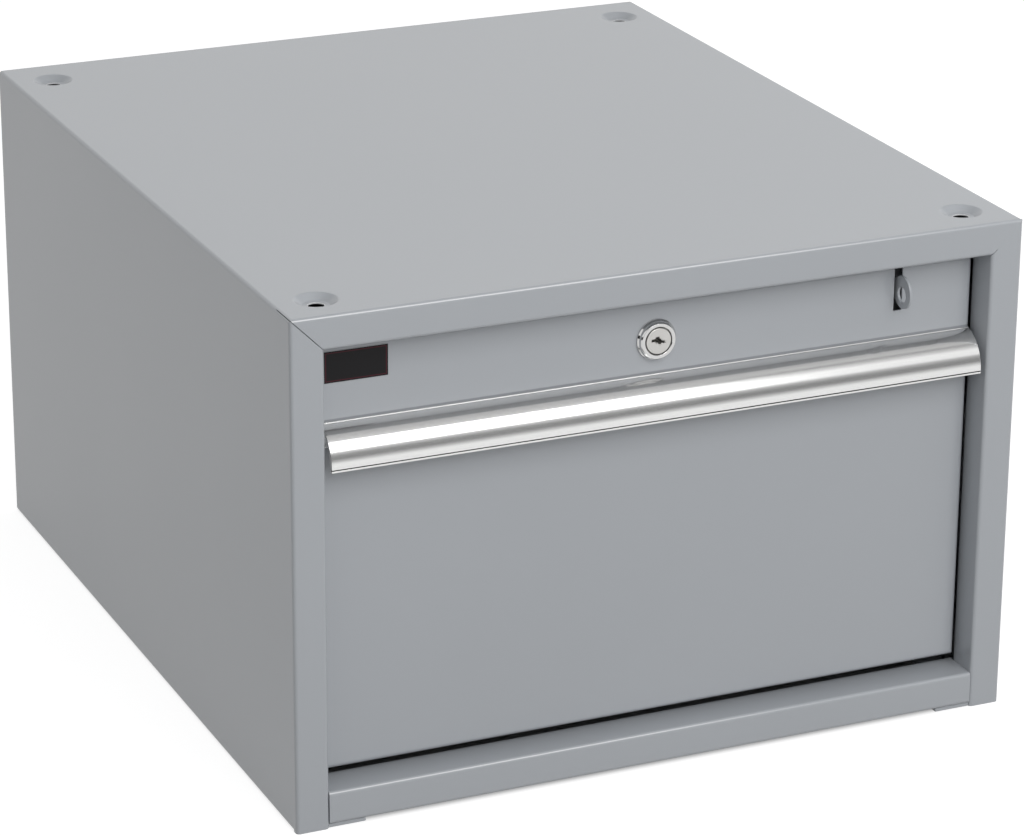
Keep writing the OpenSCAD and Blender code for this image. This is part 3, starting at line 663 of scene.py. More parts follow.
def rounded(corners: Sequence[Triple], closed: bool = False, steps: int = 6) -> list[Pair]:
    """Rounds the corners of a flat line.

    Args:
        corners: (u, v, radius) of each corner, in order.
        closed: joins the last corner to the first.
        steps: segments along each arc.

    Returns:
        The points of the rounded line.
    """
    made: list[Pair] = []
    count = len(corners)
    for i, (u, v, radius) in enumerate(corners):
        here = Vector((u, v))
        if radius <= 0 or (not closed and i in (0, count - 1)):
            made.append((u, v))
            continue
        before = Vector(corners[i - 1][:2])
        after = Vector(corners[(i + 1) % count][:2])
        into, out = (here - before).normalized(), (after - here).normalized()
        turn = into.angle_signed(out, 0.0)
        reach = radius * math.tan(abs(turn) / 2)
        start = here - into * reach
        side = -1.0 if turn > 0 else 1.0
        centre = start + Vector((-into.y, into.x)) * radius * side
        arm = start - centre
        for k in range(steps + 1):
            a = abs(turn) * k / steps * side
            c, s = math.cos(a), math.sin(a)
            made.append((centre.x + arm.x * c - arm.y * s, centre.y + arm.x * s + arm.y * c))
    return made


def mesh_object(name: str, shape: bmesh.types.BMesh) -> bpy.types.Object:
    """Makes an object from a shape, which is then freed.

    Args:
        name: the object's name.
        shape: its mesh.

    Returns:
        The object, in the scene.
    """
    mesh = bpy.data.meshes.new(name)
    shape.to_mesh(mesh)
    shape.free()
    made = bpy.data.objects.new(name, mesh)
    bpy.context.scene.collection.objects.link(made)
    return made


def ring(
    shape: bmesh.types.BMesh, size: Callable[[float], float], z: float, sides: int, offset: float = 0.0
) -> list[bmesh.types.BMVert]:
    """Adds a ring of points about Z.

    Args:
        shape: where the points go.
        size: the ring's radius at an angle.
        z: its height.
        sides: how many points it has.
        offset: how far it is turned, in sides.

    Returns:
        The points, in order.
    """
    angles = [2 * math.pi * (k + offset) / sides for k in range(sides)]
    return [shape.verts.new((size(a) * math.cos(a), size(a) * math.sin(a), z)) for a in angles]


def skinned(
    shape: bmesh.types.BMesh,
    rings: Sequence[Sequence[bmesh.types.BMVert]],
    capped: bool = True,
    joined: bool = False,
) -> bmesh.types.BMesh:
    """Stretches faces over rings of points. A ring of one point is a pole.

    Args:
        shape: what the rings are in.
        rings: the rings, in order along the piece.
        capped: closes the first and the last ring with a face.
        joined: joins the last ring to the first.

    Returns:
        The same shape, with its faces outwards.
    """
    for low, high in [*zip(rings, rings[1:]), *([(rings[-1], rings[0])] if joined else [])]:
        count = max(len(low), len(high))
        for k in range(count):
            j = (k + 1) % count
            loop = (low[k % len(low)], low[j % len(low)], high[j % len(high)], high[k % len(high)])
            corners = list(dict.fromkeys(loop))
            if len(corners) > 2:
                shape.faces.new(corners)
    if capped:
        shape.faces.new(rings[0])
        shape.faces.new(rings[-1])
    bmesh.ops.recalc_face_normals(shape, faces=shape.faces)
    return shape


def turned(line: Sequence[Pair], segments: int = 64, closed: bool = False) -> bmesh.types.BMesh:
    """Turns a line of (radius, height) about Z.

    Args:
        line: the points, in order. A point on the axis becomes a pole.
        segments: sides of each ring.
        closed: joins the last point to the first.

    Returns:
        A closed shape with its faces outwards.
    """
    shape = bmesh.new()
    rings = []
    for radius, height in line:
        if radius < ON_AXIS:
            rings.append([shape.verts.new((0, 0, height))])
        else:
            rings.append(ring(shape, lambda a: radius, height, segments))
    return skinned(shape, rings, capped=False, joined=closed)


def shaded(made: bpy.types.Object, sharp: float = 35.0) -> bpy.types.Object:
    """Shades an object smooth, except across its sharp edges.

    Args:
        made: the object.
        sharp: the angle, in degrees, past which an edge stays sharp.

    Returns:
        The same object.
    """
    made.data.polygons.foreach_set("use_smooth", [True] * len(made.data.polygons))
    made.data.set_sharp_from_angle(angle=math.radians(sharp))
    return made


def baked(made: bpy.types.Object) -> bpy.types.Object:
    """Turns an object's modifiers into its mesh.

    Args:
        made: the object.

    Returns:
        The same object, without modifiers.
    """
    graph = bpy.context.evaluated_depsgraph_get()
    mesh = bpy.data.meshes.new_from_object(
        made.evaluated_get(graph), preserve_all_data_layers=True, depsgraph=graph
    )
    made.modifiers.clear()
    old = made.data
    made.data = mesh
    mesh.name = made.name
    bpy.data.meshes.remove(old)
    return made


def cut_by(made: bpy.types.Object, tool: bpy.types.Object) -> bpy.types.Object:
    """Cuts a tool's shape out of a piece.

    Args:
        made: the piece.
        tool: what is cut out of it. It is removed.

    Returns:
        The piece, with the cut in its mesh.
    """
    cut = made.modifiers.new("cut", "BOOLEAN")
    cut.operation = "DIFFERENCE"
    cut.solver = "EXACT"
    cut.object = tool
    baked(made)
    bpy.data.objects.remove(tool)
    return made


def folds_over(face: bmesh.types.BMFace, triangles: Iterable[Sequence[bmesh.types.BMLoop]]) -> bool:
    """Tells whether a face's outline crosses itself.

    Args:
        face: the face.
        triangles: the triangles that fill it.

    Returns:
        True when more than a hundredth of its area lies the wrong way round.
    """
    enough = FOLDED_SHARE * face.calc_area()
    wrong = 0.0
    for corners in triangles:
        a, b, c = (loop.vert.co for loop in corners)
        turn = (b - a).cross(c - a) / 2
        wrong += turn.length if turn.dot(face.normal) < 0 else 0.0
    return wrong > enough


def untangled(made: bpy.types.Object) -> bpy.types.Object:
    """Fills anew, with triangles, each flat face whose outline crosses itself at a rounded corner.

    Args:
        made: the piece, without modifiers.

    Returns:
        The same piece.
    """
    shape = bmesh.new()
    shape.from_mesh(made.data)
    shape.normal_update()
    triangles: dict[bmesh.types.BMFace, list[Sequence[bmesh.types.BMLoop]]] = {}
    for corners in shape.calc_loop_triangles():
        triangles.setdefault(corners[0].face, []).append(corners)
    for face in [f for f, found in triangles.items() if len(found) > 1 and folds_over(f, found)]:
        rim, normal = list(face.verts), face.normal.copy()
        u = normal.orthogonal().normalized()
        v = normal.cross(u)
        origin = rim[0].co.copy()
        flat = [Vector(((vert.co - origin).dot(u), (vert.co - origin).dot(v))) for vert in rim]
        points, _, faces, sources, _, _ = delaunay_2d_cdt(flat, [], [list(range(len(rim)))], 1, FILL_SLACK)
        seats = [
            rim[source[0]] if source else shape.verts.new(origin + u * point.x + v * point.y)
            for point, source in zip(points, sources)
        ]
        bmesh.ops.delete(shape, geom=[face], context="FACES_ONLY")
        for corners in faces:
            a, b, c = (points[k] for k in corners)
            turn = (b - a).cross(c - a)
            patch = [seats[k] for k in (corners if turn > 0 else reversed(corners))]
            if len(set(patch)) == 3 and shape.faces.get(patch) is None:
                shape.faces.new(patch).smooth = True
    loose = [vert for vert in shape.verts if not vert.link_faces]
    bmesh.ops.delete(shape, geom=loose, context="VERTS")
    shape.to_mesh(made.data)
    shape.free()
    return made


@dataclass(frozen=True)
class EdgeBreak:
    """The small round on the edges of a piece."""

    width: float = 0.25 * MM
    segments: int = 2
    angle: float = 38.0
    flat_weight: int = 80

    def on(self, made: bpy.types.Object) -> bpy.types.Object:
        """Rounds the sharp edges and keeps the flats flat.

        Args:
            made: the piece, with a clean mesh.

        Returns:
            The same piece, with its modifiers baked.
        """
        shaded(made, ALL_SMOOTH)
        bevel = made.modifiers.new("edge_break", "BEVEL")
        bevel.width = self.width
        bevel.segments = self.segments
        bevel.limit_method = "ANGLE"
        bevel.angle_limit = math.radians(self.angle)
        bevel.use_clamp_overlap = False
        bevel.miter_outer = "MITER_ARC"
        untangled(baked(made))
        weigh = made.modifiers.new("flat_faces", "WEIGHTED_NORMAL")
        weigh.mode = "FACE_AREA"
        weigh.weight = self.flat_weight
        weigh.keep_sharp = True
        return baked(made)


def solid_copy(node: str) -> bmesh.types.BMesh:
    """Copies a node of the frame, with its triangles joined and its flats made whole.

    Args:
        node: the node's name.

    Returns:
        The copy.
    """
    same, flat = 0.003 * MM, math.radians(0.4)
    shape = bmesh.new()
    shape.from_mesh(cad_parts[node].data)
    bmesh.ops.remove_doubles(shape, verts=shape.verts, dist=same)
    bmesh.ops.dissolve_degenerate(shape, edges=shape.edges, dist=same)
    bmesh.ops.dissolve_limit(shape, angle_limit=flat, verts=shape.verts, edges=shape.edges)
    return shape


def place(
    made: bpy.types.Object, finish: Finish, body: Body, slot: Slot, nodes: Iterable[str] = ()
) -> bpy.types.Object:
    """Finishes a piece.

    Args:
        made: the piece.
        finish: its finish, unless it has a material already.
        body: the body that it rides on.
        slot: its material slot in the record; not used.
        nodes: the nodes that it stands for.

    Returns:
        The same piece.
    """
    if not any(m is not None for m in made.data.materials):
        made.data.materials.clear()
        made.data.materials.append(finish.material())
    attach(made, body.value)
    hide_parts(*nodes)
    LOG.info("%s: %d faces, on %s", made.name, len(made.data.polygons), body.value)
    return made


def held_inside(made: bpy.types.Object, node: str) -> bpy.types.Object:
    """Brings any point that a rounded edge pushed out back to the faces of its node's box.

    Args:
        made: the piece.
        node: the node's name.

    Returns:
        The same piece.
    """
    low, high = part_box(node)
    for vert in made.data.vertices:
        vert.co = [min(max(value, a), b) for value, a, b in zip(vert.co, low, high)]
    return made


def formed(
    name: str, node: str, finish: Finish, body: Body, slot: Slot, edge: EdgeBreak = EdgeBreak()
) -> bpy.types.Object:
    """A piece with a node's own form and its edges rounded."""
    made = held_inside(edge.on(mesh_object(name, solid_copy(node))), node)
    return place(made, finish, body, slot, [node])


# ---------------------------------------------------------------------------
# Repeats
# ---------------------------------------------------------------------------


class GeometryTree:
    """Geometry nodes that take a mesh in and give a dressed one back."""

    NAME = ""
    SOCKETS: tuple[tuple[str, str], ...] = ()
    tree: bpy.types.NodeTree | None = None

    @classmethod
    def group(cls) -> bpy.types.NodeTree:
        """Builds the tree on first use, with its named inputs.

        Returns:
            The tree.
        """
        if cls.tree is not None:
            return cls.tree
        tree = bpy.data.node_groups.new(cls.NAME, "GeometryNodeTree")
        inputs = (("Geometry", "NodeSocketGeometry"), *cls.SOCKETS, ("Finish", "NodeSocketMaterial"))
        for name, kind in inputs:
            tree.interface.new_socket(name, in_out="INPUT", socket_type=kind)
        tree.interface.new_socket("Geometry", in_out="OUTPUT", socket_type="NodeSocketGeometry")
        sheet = NodeSheet(tree)
        given = sheet.node("NodeGroupInput")
        ask = {s.name: Signal(sheet, s) for s in given.socket.node.outputs if s.name}
        whole = cls.whole(sheet, ask)
        dressed = sheet.node("GeometryNodeSetMaterial", {"Geometry": whole, "Material": ask["Finish"]})
        sheet.node("NodeGroupOutput", {"Geometry": dressed})
        cls.tree = tree
        return tree

    @classmethod
    def whole(cls, sheet: NodeSheet, ask: Mapping[str, Signal]) -> Signal:
        """Adds the tree's own nodes and returns their mesh."""
        raise NotImplementedError


class RowsTree(GeometryTree):
    """Repeats an object's own mesh in rows and columns."""

    NAME = "rows_of_repeats"
    SOCKETS = (
        ("Columns", "NodeSocketInt"),
        ("Column step", "NodeSocketVector"),
        ("Rows", "NodeSocketInt"),
        ("Row step", "NodeSocketVector"),
        ("Start", "NodeSocketVector"),
        ("Turn", "NodeSocketVector"),
    )

    @classmethod
    def whole(cls, sheet: NodeSheet, ask: Mapping[str, Signal]) -> Signal:
        """Stands a copy on each point of the pattern.

        Args:
            sheet: the tree's nodes.
            ask: its inputs, by name.

        Returns:
            The copies, as one mesh.
        """
        column = sheet.node(
            "GeometryNodeMeshLine",
            {"Count": ask["Columns"], "Start Location": ask["Start"], "Offset": ask["Column step"]},
        )
        row = sheet.node("GeometryNodeMeshLine", {"Count": ask["Rows"], "Offset": ask["Row step"]})
        spread = sheet.node("GeometryNodeInstanceOnPoints", {"Points": row, "Instance": column})
        points = sheet.node("GeometryNodeRealizeInstances", {"Geometry": spread})
        copies = sheet.node(
            "GeometryNodeInstanceOnPoints",
            {"Points": points, "Instance": ask["Geometry"], "Rotation": ask["Turn"]},
        )
        return sheet.node("GeometryNodeRealizeInstances", {"Geometry": copies})


class ExtrusionTree(GeometryTree):
    """Draws a flat section out to a length along X."""

    NAME = "drawn_section"
    SOCKETS = (("Length", "NodeSocketFloat"),)

    @classmethod
    def whole(cls, sheet: NodeSheet, ask: Mapping[str, Signal]) -> Signal:
        """Draws the section out and closes both ends.

        Args:
            sheet: the tree's nodes.
            ask: its inputs, by name.

        Returns:
            The drawn mesh.
        """
        section = ask["Geometry"]
        along = sheet.node("ShaderNodeCombineXYZ", {"X": ask["Length"]})
        drawn = sheet.node(
            "GeometryNodeExtrudeMesh", {"Mesh": section, "Offset": along, "Individual": False}
        )
        end = sheet.node("GeometryNodeFlipFaces", {"Mesh": section})
        whole = sheet.node("GeometryNodeJoinGeometry", {"Geometry": drawn})
        sheet.tree.links.new(end.socket, whole.socket.node.inputs[0])
        return sheet.node("GeometryNodeMergeByDistance", {"Geometry": whole, "Distance": SAME_POINT})


def through_tree(
    made: bpy.types.Object, tree: bpy.types.NodeTree, given: Mapping[str, Any]
) -> bpy.types.Object:
    """Runs an object through a geometry tree and bakes the result.

    Args:
        made: the object whose mesh goes in.
        tree: the node tree.
        given: the tree's inputs, by name.

    Returns:
        The same object with the result as its mesh.
    """
    modifier = made.modifiers.new("repeat", "NODES")
    modifier.node_group = tree
    for item in tree.interface.items_tree:
        if item.item_type == "SOCKET" and item.in_out == "INPUT" and item.name in given:
            modifier[item.identifier] = given[item.name]
    made.update_tag()
    return baked(made)


@dataclass(frozen=True)
class Rows:
    """Where the copies of a small part stand."""

    start: Sequence[float]
    columns: int = 1
    column_step: Sequence[float] = (0.0, 0.0, 0.0)
    rows: int = 1
    row_step: Sequence[float] = (0.0, 0.0, 0.0)
    turn: Sequence[float] = (0.0, 0.0, 0.0)

    def of(
        self, name: str, shape: bmesh.types.BMesh, finish: Finish, sharp: float = 35.0
    ) -> bpy.types.Object:
        """Repeats a shape at every place of the pattern.

        Args:
            name: the object's name.
            shape: one of the parts, at the origin.
            finish: their finish.
            sharp: the angle, in degrees, past which an edge stays sharp.

        Returns:
            All of them, as one object.
        """
        made = shaded(mesh_object(name, shape), sharp)
        return through_tree(
            made,
            RowsTree.group(),
            {
                "Columns": self.columns,
                "Column step": tuple(self.column_step),
                "Rows": self.rows,
                "Row step": tuple(self.row_step),
                "Start": tuple(self.start),
                "Turn": tuple(self.turn),
                "Finish": finish.material(),
            },
        )


def merged(name: str, parts: Sequence[bpy.types.Object]) -> bpy.types.Object:
    """Joins several baked objects into one.

    Args:
        name: the new object's name.
        parts: the objects, of one finish. They are removed.

    Returns:
        The new object.
    """
    shape = bmesh.new()
    for part in parts:
        shape.from_mesh(part.data)
    finish = parts[0].data.materials[0]
    made = mesh_object(name, shape)
    made.data.materials.append(finish)
    for part in parts:
        bpy.data.objects.remove(part)
    return shaded(made)


@dataclass(frozen=True)
class CrossScrew:
    """A screw along Z with a cross recess in its flat head, whose face is at Z 0."""

    head_r: float
    head_h: float
    length: float
    recess: float
    shank_r: float
    arm: float
    pitch: float = 0.7 * MM
    root: float = 0.9
    tip: float = 0.75
    tip_bevel: float = 0.3 * MM
    sides: int = 48

    def cross(self, share: float) -> Callable[[float], float]:
        """Outline of the cross, as a radius for each angle.

        Args:
            share: the cross's size, as a share of its full one.

        Returns:
            A function that gives the radius at an angle.
        """
        long, half = share * self.arm, share * 0.2 * self.arm

        def radius(a: float) -> float:
            """The nearer of the cross's end and its flank."""
            narrow, wide = sorted((abs(math.cos(a)), abs(math.sin(a))))
            return min(long / wide, half / max(NEVER_ZERO, narrow))

        return radius

    def shape(self) -> bmesh.types.BMesh:
        """Builds the head, the cross and the thread.

        Returns:
            The screw, with its tip below its head.
        """
        high, low, shank = self.head_h, self.length, self.shank_r
        line = [
            (self.cross(0.45), -self.recess),
            (self.cross(1.0), -0.1 * self.recess),
            (self.cross(1.1), 0.0),
            (lambda a: self.head_r - 0.05 * high, 0.0),
            (lambda a: self.head_r, -0.06 * high),
            (lambda a: shank, -high),
        ]
        turns = max(0, int((low - high - 0.4 * MM) / self.pitch))
        for i in range(turns):
            z = -high - (i + 0.25) * self.pitch
            line += [(lambda a: shank, z), (lambda a: shank * self.root, z - 0.5 * self.pitch)]
        line += [(lambda a: shank, -low + self.tip_bevel), (lambda a: shank * self.tip, -low)]
        made = bmesh.new()
        return skinned(made, [ring(made, size, z, self.sides, 0.5) for size, z in line])


@dataclass(frozen=True)
class Rivet:
    """A rivet along Z, with a dimpled head above 0 and its formed end below.

    Its corners are (radius, height, rounding) in millimetres.
    """

    corners: tuple[Triple, ...]
    steps: int = 4
    sides: int = 40

    def shape(self) -> bmesh.types.BMesh:
        """The rivet, turned from its corners."""
        return turned(rounded(in_mm(self.corners), steps=self.steps), self.sides)


def laid(shape: bmesh.types.BMesh, towards: Sequence[float]) -> bmesh.types.BMesh:
    """Turns a shape so that its Z axis points in a direction.

    Args:
        shape: the shape.
        towards: the direction.

    Returns:
        The same shape.
    """
    turn = Vector((0, 0, 1)).rotation_difference(Vector(towards)).to_matrix()
    bmesh.ops.rotate(shape, cent=(0, 0, 0), matrix=turn, verts=shape.verts)
    return shape


def moved(shape: bmesh.types.BMesh, offset: Sequence[float]) -> bmesh.types.BMesh:
    """Moves a shape."""
    bmesh.ops.translate(shape, vec=offset, verts=shape.verts)
    return shape


def gathered(shapes: Iterable[bmesh.types.BMesh]) -> bmesh.types.BMesh:
    """Puts several shapes into one.

    Args:
        shapes: the shapes, which are freed.

    Returns:
        The new shape.
    """
    whole = bmesh.new()
    for shape in shapes:
        carrier = bpy.data.meshes.new("carrier")
        shape.to_mesh(carrier)
        shape.free()
        whole.from_mesh(carrier)
        bpy.data.meshes.remove(carrier)
    return whole


def in_mm(corners: Iterable[Sequence[float]]) -> list[tuple[float, ...]]:
    """Turns corners in millimetres into metres."""
    return [tuple(value * MM for value in corner) for corner in corners]


# ---------------------------------------------------------------------------
# Case
# ---------------------------------------------------------------------------


@dataclass(frozen=True)
class Case:
    """The steel case: folded shell, back, rails, corner plates, strike and lug.

    The sizes of the dish, the mitre and the weld are in millimetres, the others in metres.
    """

    hole_x: float = 194.0 * MM
    hole_y: Pair = (-227.5 * MM, 222.0 * MM)
    top_z: float = 296.0 * MM
    cut_r: float = 14.2 * MM
    cut_z: Pair = (-12.0 * MM, 4.0 * MM)
    rim_depth: float = 8.0 * MM
    rim_slack: float = 0.03 * MM
    seam_slack: float = 0.02 * MM
    seat_height: float = 0.1 * MM
    seat_slack: float = 0.02
    sides: int = 96
    dish: tuple[Triple, ...] = (
        (14.2, 0.0, 0.0),
        (12.05, 0.0, 2.0),
        (7.4, -3.4, 1.2),
        (4.35, -3.4, 0.25),
        (4.3, -4.1, 0.1),
        (7.9, -4.9, 1.6),
        (12.6, -1.5, 1.0),
        (14.2, -1.5, 0.0),
    )
    mitre_from: Pair = (199.7, 276.7)
    mitre_reach: float = 19.3
    front_y: float = -254.0
    fold_r: float = 2.2
    weld_half: float = 0.27
    weld_sunk: float = 0.02
    weld_chamfer: float = 0.12
    weld_depth: float = 0.9
    weld_span: Pair = (0.17, 0.975)
    weld_steps: int = 40
    sheet_edge: EdgeBreak = EdgeBreak(0.22 * MM)
    plate_edge: EdgeBreak = EdgeBreak(0.4 * MM)
    lug_edge: EdgeBreak = EdgeBreak(0.35 * MM, segments=3)

    def holes(self) -> list[Vector]:
        """Centres of the four stacking holes on the top's face."""
        return [Vector((s * self.hole_x, y, self.top_z)) for s in (-1, 1) for y in self.hole_y]

    def shell(self) -> bpy.types.Object:
        """Builds the folded shell, with soft-rimmed recesses pressed into its top.

        Returns:
            The shell.
        """
        made = mesh_object("case_shell_sheet", solid_copy("case_shell"))
        low, high = self.cut_z
        column = [(0, low), (self.cut_r, low), (self.cut_r, high), (0, high)]
        cutters = gathered(moved(turned(column, self.sides), c) for c in self.holes())
        cut_by(made, mesh_object("recess_cutter", cutters))
        open_sheet = bmesh.new()
        open_sheet.from_mesh(made.data)
        for centre in self.holes():
            self.square_up(open_sheet, centre)
        line = rounded(in_mm(self.dish), steps=8)
        dishes = [moved(turned(line, self.sides), c) for c in self.holes()]
        whole = gathered([open_sheet, *dishes])
        bmesh.ops.remove_doubles(whole, verts=whole.verts, dist=self.seam_slack)
        bmesh.ops.recalc_face_normals(whole, faces=whole.faces)
        whole.to_mesh(made.data)
        whole.free()
        held_inside(self.sheet_edge.on(made), "case_shell")
        return place(made, CASE_COAT, Body.CABINET, Slot.CASE, ["case_shell"])

    def weld(self) -> None:
        """The ground weld that fills the right mitre, but for a notch at the inner corner."""
        (x0, z0), reach, half = self.mitre_from, self.mitre_reach, self.weld_half
        left = [(-half, self.weld_depth), (-half, self.weld_chamfer), (-0.5 * half, 0.0)]
        across = left + [(-a, d) for a, d in reversed(left)]
        first, last = self.weld_span
        shape = bmesh.new()
        rings = []
        for step in range(self.weld_steps + 1):
            share = first + (last - first) * step / self.weld_steps
            past = max(0.0, reach * share - (reach - self.fold_r))
            front = self.front_y + self.fold_r - math.sqrt(self.fold_r**2 - past**2) + self.weld_sunk
            middle = Vector((x0 + reach * share, front, z0 + reach * share))
            rings.append([shape.verts.new((middle + Vector((-a, d, a))) * MM) for a, d in across])
        bead = shaded(mesh_object("mitre_weld_bead", skinned(shape, rings)))
        place(bead, CASE_COAT, Body.CABINET, Slot.CASE, ["case_shell"])

    def square_up(self, shape: bmesh.types.BMesh, centre: Vector) -> None:
        """Clears an opening's wall and puts its rim on a regular ring.

        Args:
            shape: the sheet with the opening cut.
            centre: the opening's centre on the sheet's face.
        """

        def on_rim(vert: bmesh.types.BMVert) -> bool:
            """True for a point on the opening's rim."""
            away = (vert.co.xy - centre.xy).length
            return abs(away - self.cut_r) < self.rim_slack and vert.co.z > centre.z - self.rim_depth

        walls = [f for f in shape.faces if all(on_rim(v) for v in f.verts)]
        bmesh.ops.delete(shape, geom=walls, context="FACES")
        seats: dict[tuple[int, int], bmesh.types.BMVert] = {}
        strays: dict[bmesh.types.BMVert, tuple[int, int]] = {}
        for vert in [v for v in shape.verts if on_rim(v)]:
            arm = vert.co.xy - centre.xy
            share = math.atan2(arm.y, arm.x) / (2 * math.pi) * self.sides
            seat = (round(share) % self.sides, round(vert.co.z / self.seat_height))
            if abs(share - round(share)) < self.seat_slack:
                seats[seat] = vert
            else:
                strays[vert] = seat
        weld = {vert: seats[seat] for vert, seat in strays.items() if seat in seats}
        bmesh.ops.weld_verts(shape, targetmap=weld)

    def plates(self) -> None:
        """The back, the rails and the corner plates."""
        sheets = {"back_panel": CASE_COAT, "bottom_front_rail": RAIL_COAT, "bottom_rear_rail": CASE_COAT}
        for name, coat in sheets.items():
            formed(f"{name}_sheet", name, coat, Body.CABINET, Slot.CASE, self.sheet_edge)
        for end in ("front", "rear"):
            for side in Side:
                name = f"corner_plate_{end}_{side.name.lower()}"
                formed(f"{name}_cut", name, CASE_COAT, Body.CABINET, Slot.CASE, self.plate_edge)

    def fittings(self) -> None:
        """The strike for the cam and the padlock lug."""
        formed("lock_strike_folded", "lock_strike", ZINC, Body.CABINET, Slot.ZINC)
        formed("padlock_lug_plate", "padlock_lug", CASE_COAT, Body.CABINET, Slot.CASE, self.lug_edge)

    def build(self) -> None:
        """Builds the whole case."""
        self.shell()
        self.weld()
        self.plates()
        self.fittings()


# ---------------------------------------------------------------------------
# Slides
# ---------------------------------------------------------------------------


@dataclass(frozen=True)
class Slides:
    """Two full-extension ball slides with their brackets, screws and rivets."""

    centre_z: float = 112.0 * MM
    screw: CrossScrew = CrossScrew(
        head_r=3.5 * MM, head_h=1.2 * MM, length=6.6 * MM, recess=1.0 * MM, shank_r=1.95 * MM, arm=2.17 * MM
    )
    screw_face_x: float = 197.6 * MM
    screw_y: Pair = (-164.0 * MM, 176.0 * MM)
    screw_pitch: float = 22.0 * MM
    rivet: Rivet = Rivet(
        (
            (0.0, 0.7, 0.0), (0.8, 0.7, 0.2), (0.95, 1.38, 0.15), (2.7, 1.38, 1.1), (3.55, 0.25, 0.25),
            (3.55, 0.0, 0.0), (1.95, 0.0, 0.0), (1.95, -2.4, 0.0), (3.5, -2.4, 0.0), (3.5, -2.7, 0.25),
            (2.5, -3.55, 0.9), (0.0, -3.55, 0.0),
        )
    )
    rivet_face_x: float = 187.3 * MM
    rivet_y: tuple[Pair, ...] = ((-193.24 * MM, 199.24 * MM), (-63.9 * MM, 69.9 * MM))
    ball_r: float = 1.97 * MM
    ball_rings: int = 12
    ball_sides: int = 20
    ball_pitch: float = 24.0 * MM
    balls: int = 8
    outer_row: Triple = (193.45 * MM, -58.5 * MM, 19.35 * MM)
    inner_row: Triple = (191.05 * MM, -53.5 * MM, 13.55 * MM)
    strip_edge: EdgeBreak = EdgeBreak(0.18 * MM)
    cage_edge: EdgeBreak = EdgeBreak(0.1 * MM)
    stop_edge: EdgeBreak = EdgeBreak(0.5 * MM, 3)

    def ball(self) -> bmesh.types.BMesh:
        """Builds one ball, with closed poles.

        Returns:
            The ball, about the origin.
        """
        arc = [math.pi * k / self.ball_rings for k in range(self.ball_rings + 1)]
        line = [(self.ball_r * math.sin(a), -self.ball_r * math.cos(a)) for a in arc]
        line[0], line[-1] = (0.0, -self.ball_r), (0.0, self.ball_r)
        return turned(line, self.ball_sides)

    def ball_rows(self, side: Side, which: str, row: Sequence[float], body: Body) -> None:
        """Both rows of balls of one raceway.

        Args:
            side: the side of the box.
            which: the raceway's name in the nodes.
            row: X, first Y, and height above and below the slide's centre.
            body: the cage that carries them.
        """
        x, y, z = row
        name = f"{which}_balls_{side.name.lower()}"
        rows = Rows(
            start=(side.value * x, y, self.centre_z - z),
            columns=self.balls,
            column_step=(0, self.ball_pitch, 0),
            rows=2,
            row_step=(0, 0, 2 * z),
        )
        made = rows.of(f"{name}_ground", self.ball(), BALL_STEEL, ALL_SMOOTH)
        place(made, BALL_STEEL, body, Slot.BALL, [name])

    def screws(self) -> None:
        """Countersunk cross-head screws through the cabinet members."""
        rows = [
            Rows(
                start=(side.value * self.screw_face_x, self.screw_y[0], self.centre_z - self.screw_pitch / 2),
                columns=2,
                column_step=(0, self.screw_y[1] - self.screw_y[0], 0),
                rows=2,
                row_step=(0, 0, self.screw_pitch),
                turn=(0, -side.value * math.pi / 2, 0),
            ).of(f"slide_screws_{side.name.lower()}", self.screw.shape(), ZINC)
            for side in Side
        ]
        made = merged("cabinet_slide_screws_cut", rows)
        place(made, ZINC, Body.CABINET, Slot.ZINC, ["cabinet_slide_screws"])

    def rivets(self) -> None:
        """Rivets that hold the drawer members to the tray."""
        rows = []
        for side in Side:
            for i, (first, last) in enumerate(self.rivet_y):
                pattern = Rows(
                    start=(side.value * self.rivet_face_x, first, self.centre_z),
                    columns=2,
                    column_step=(0, last - first, 0),
                    turn=(0, side.value * math.pi / 2, 0),
                )
                rows.append(pattern.of(f"slide_rivets_{side.name.lower()}_{i}", self.rivet.shape(), ZINC))
        made = merged("drawer_slide_rivets_formed", rows)
        place(made, ZINC, Body.DRAWER, Slot.ZINC, ["drawer_slide_rivets"])

    def side(self, side: Side) -> None:
        """Members, cages, stop and brackets of one side.

        Args:
            side: the side of the box.
        """
        followers = ("MIDDLE", "OUTER_CAGE", "INNER_CAGE")
        middle, outer, inner = (Body[f"{name}_{side.name}"] for name in followers)
        pieces = (
            ("cabinet_member", "rolled", SLIDE_STEEL, Body.CABINET, Slot.SLIDE, self.strip_edge),
            ("middle_member", "rolled", SLIDE_STEEL, middle, Slot.SLIDE, self.strip_edge),
            ("drawer_member", "rolled", SLIDE_STEEL, Body.DRAWER, Slot.SLIDE, self.strip_edge),
            ("outer_ball_cage", "strip", CAGE_STEEL, outer, Slot.CAGE, self.cage_edge),
            ("inner_ball_cage", "strip", CAGE_STEEL, inner, Slot.CAGE, self.cage_edge),
            ("slide_stop", "moulded", RUBBER, Body.CABINET, Slot.STOP, self.stop_edge),
            ("slide_bracket_front", "folded", ZINC, Body.CABINET, Slot.ZINC, self.strip_edge),
            ("slide_bracket_rear", "folded", ZINC, Body.CABINET, Slot.ZINC, self.strip_edge),
        )
        for piece, made, finish, body, slot, edge in pieces:
            node = f"{piece}_{side.name.lower()}"
            formed(f"{node}_{made}", node, finish, body, slot, edge)
        self.ball_rows(side, "outer", self.outer_row, outer)
        self.ball_rows(side, "inner", self.inner_row, inner)

    def build(self) -> None:
        """Builds both slides."""
        for side in Side:
            self.side(side)
        self.screws()
        self.rivets()


# ---------------------------------------------------------------------------
# Drawer
# ---------------------------------------------------------------------------


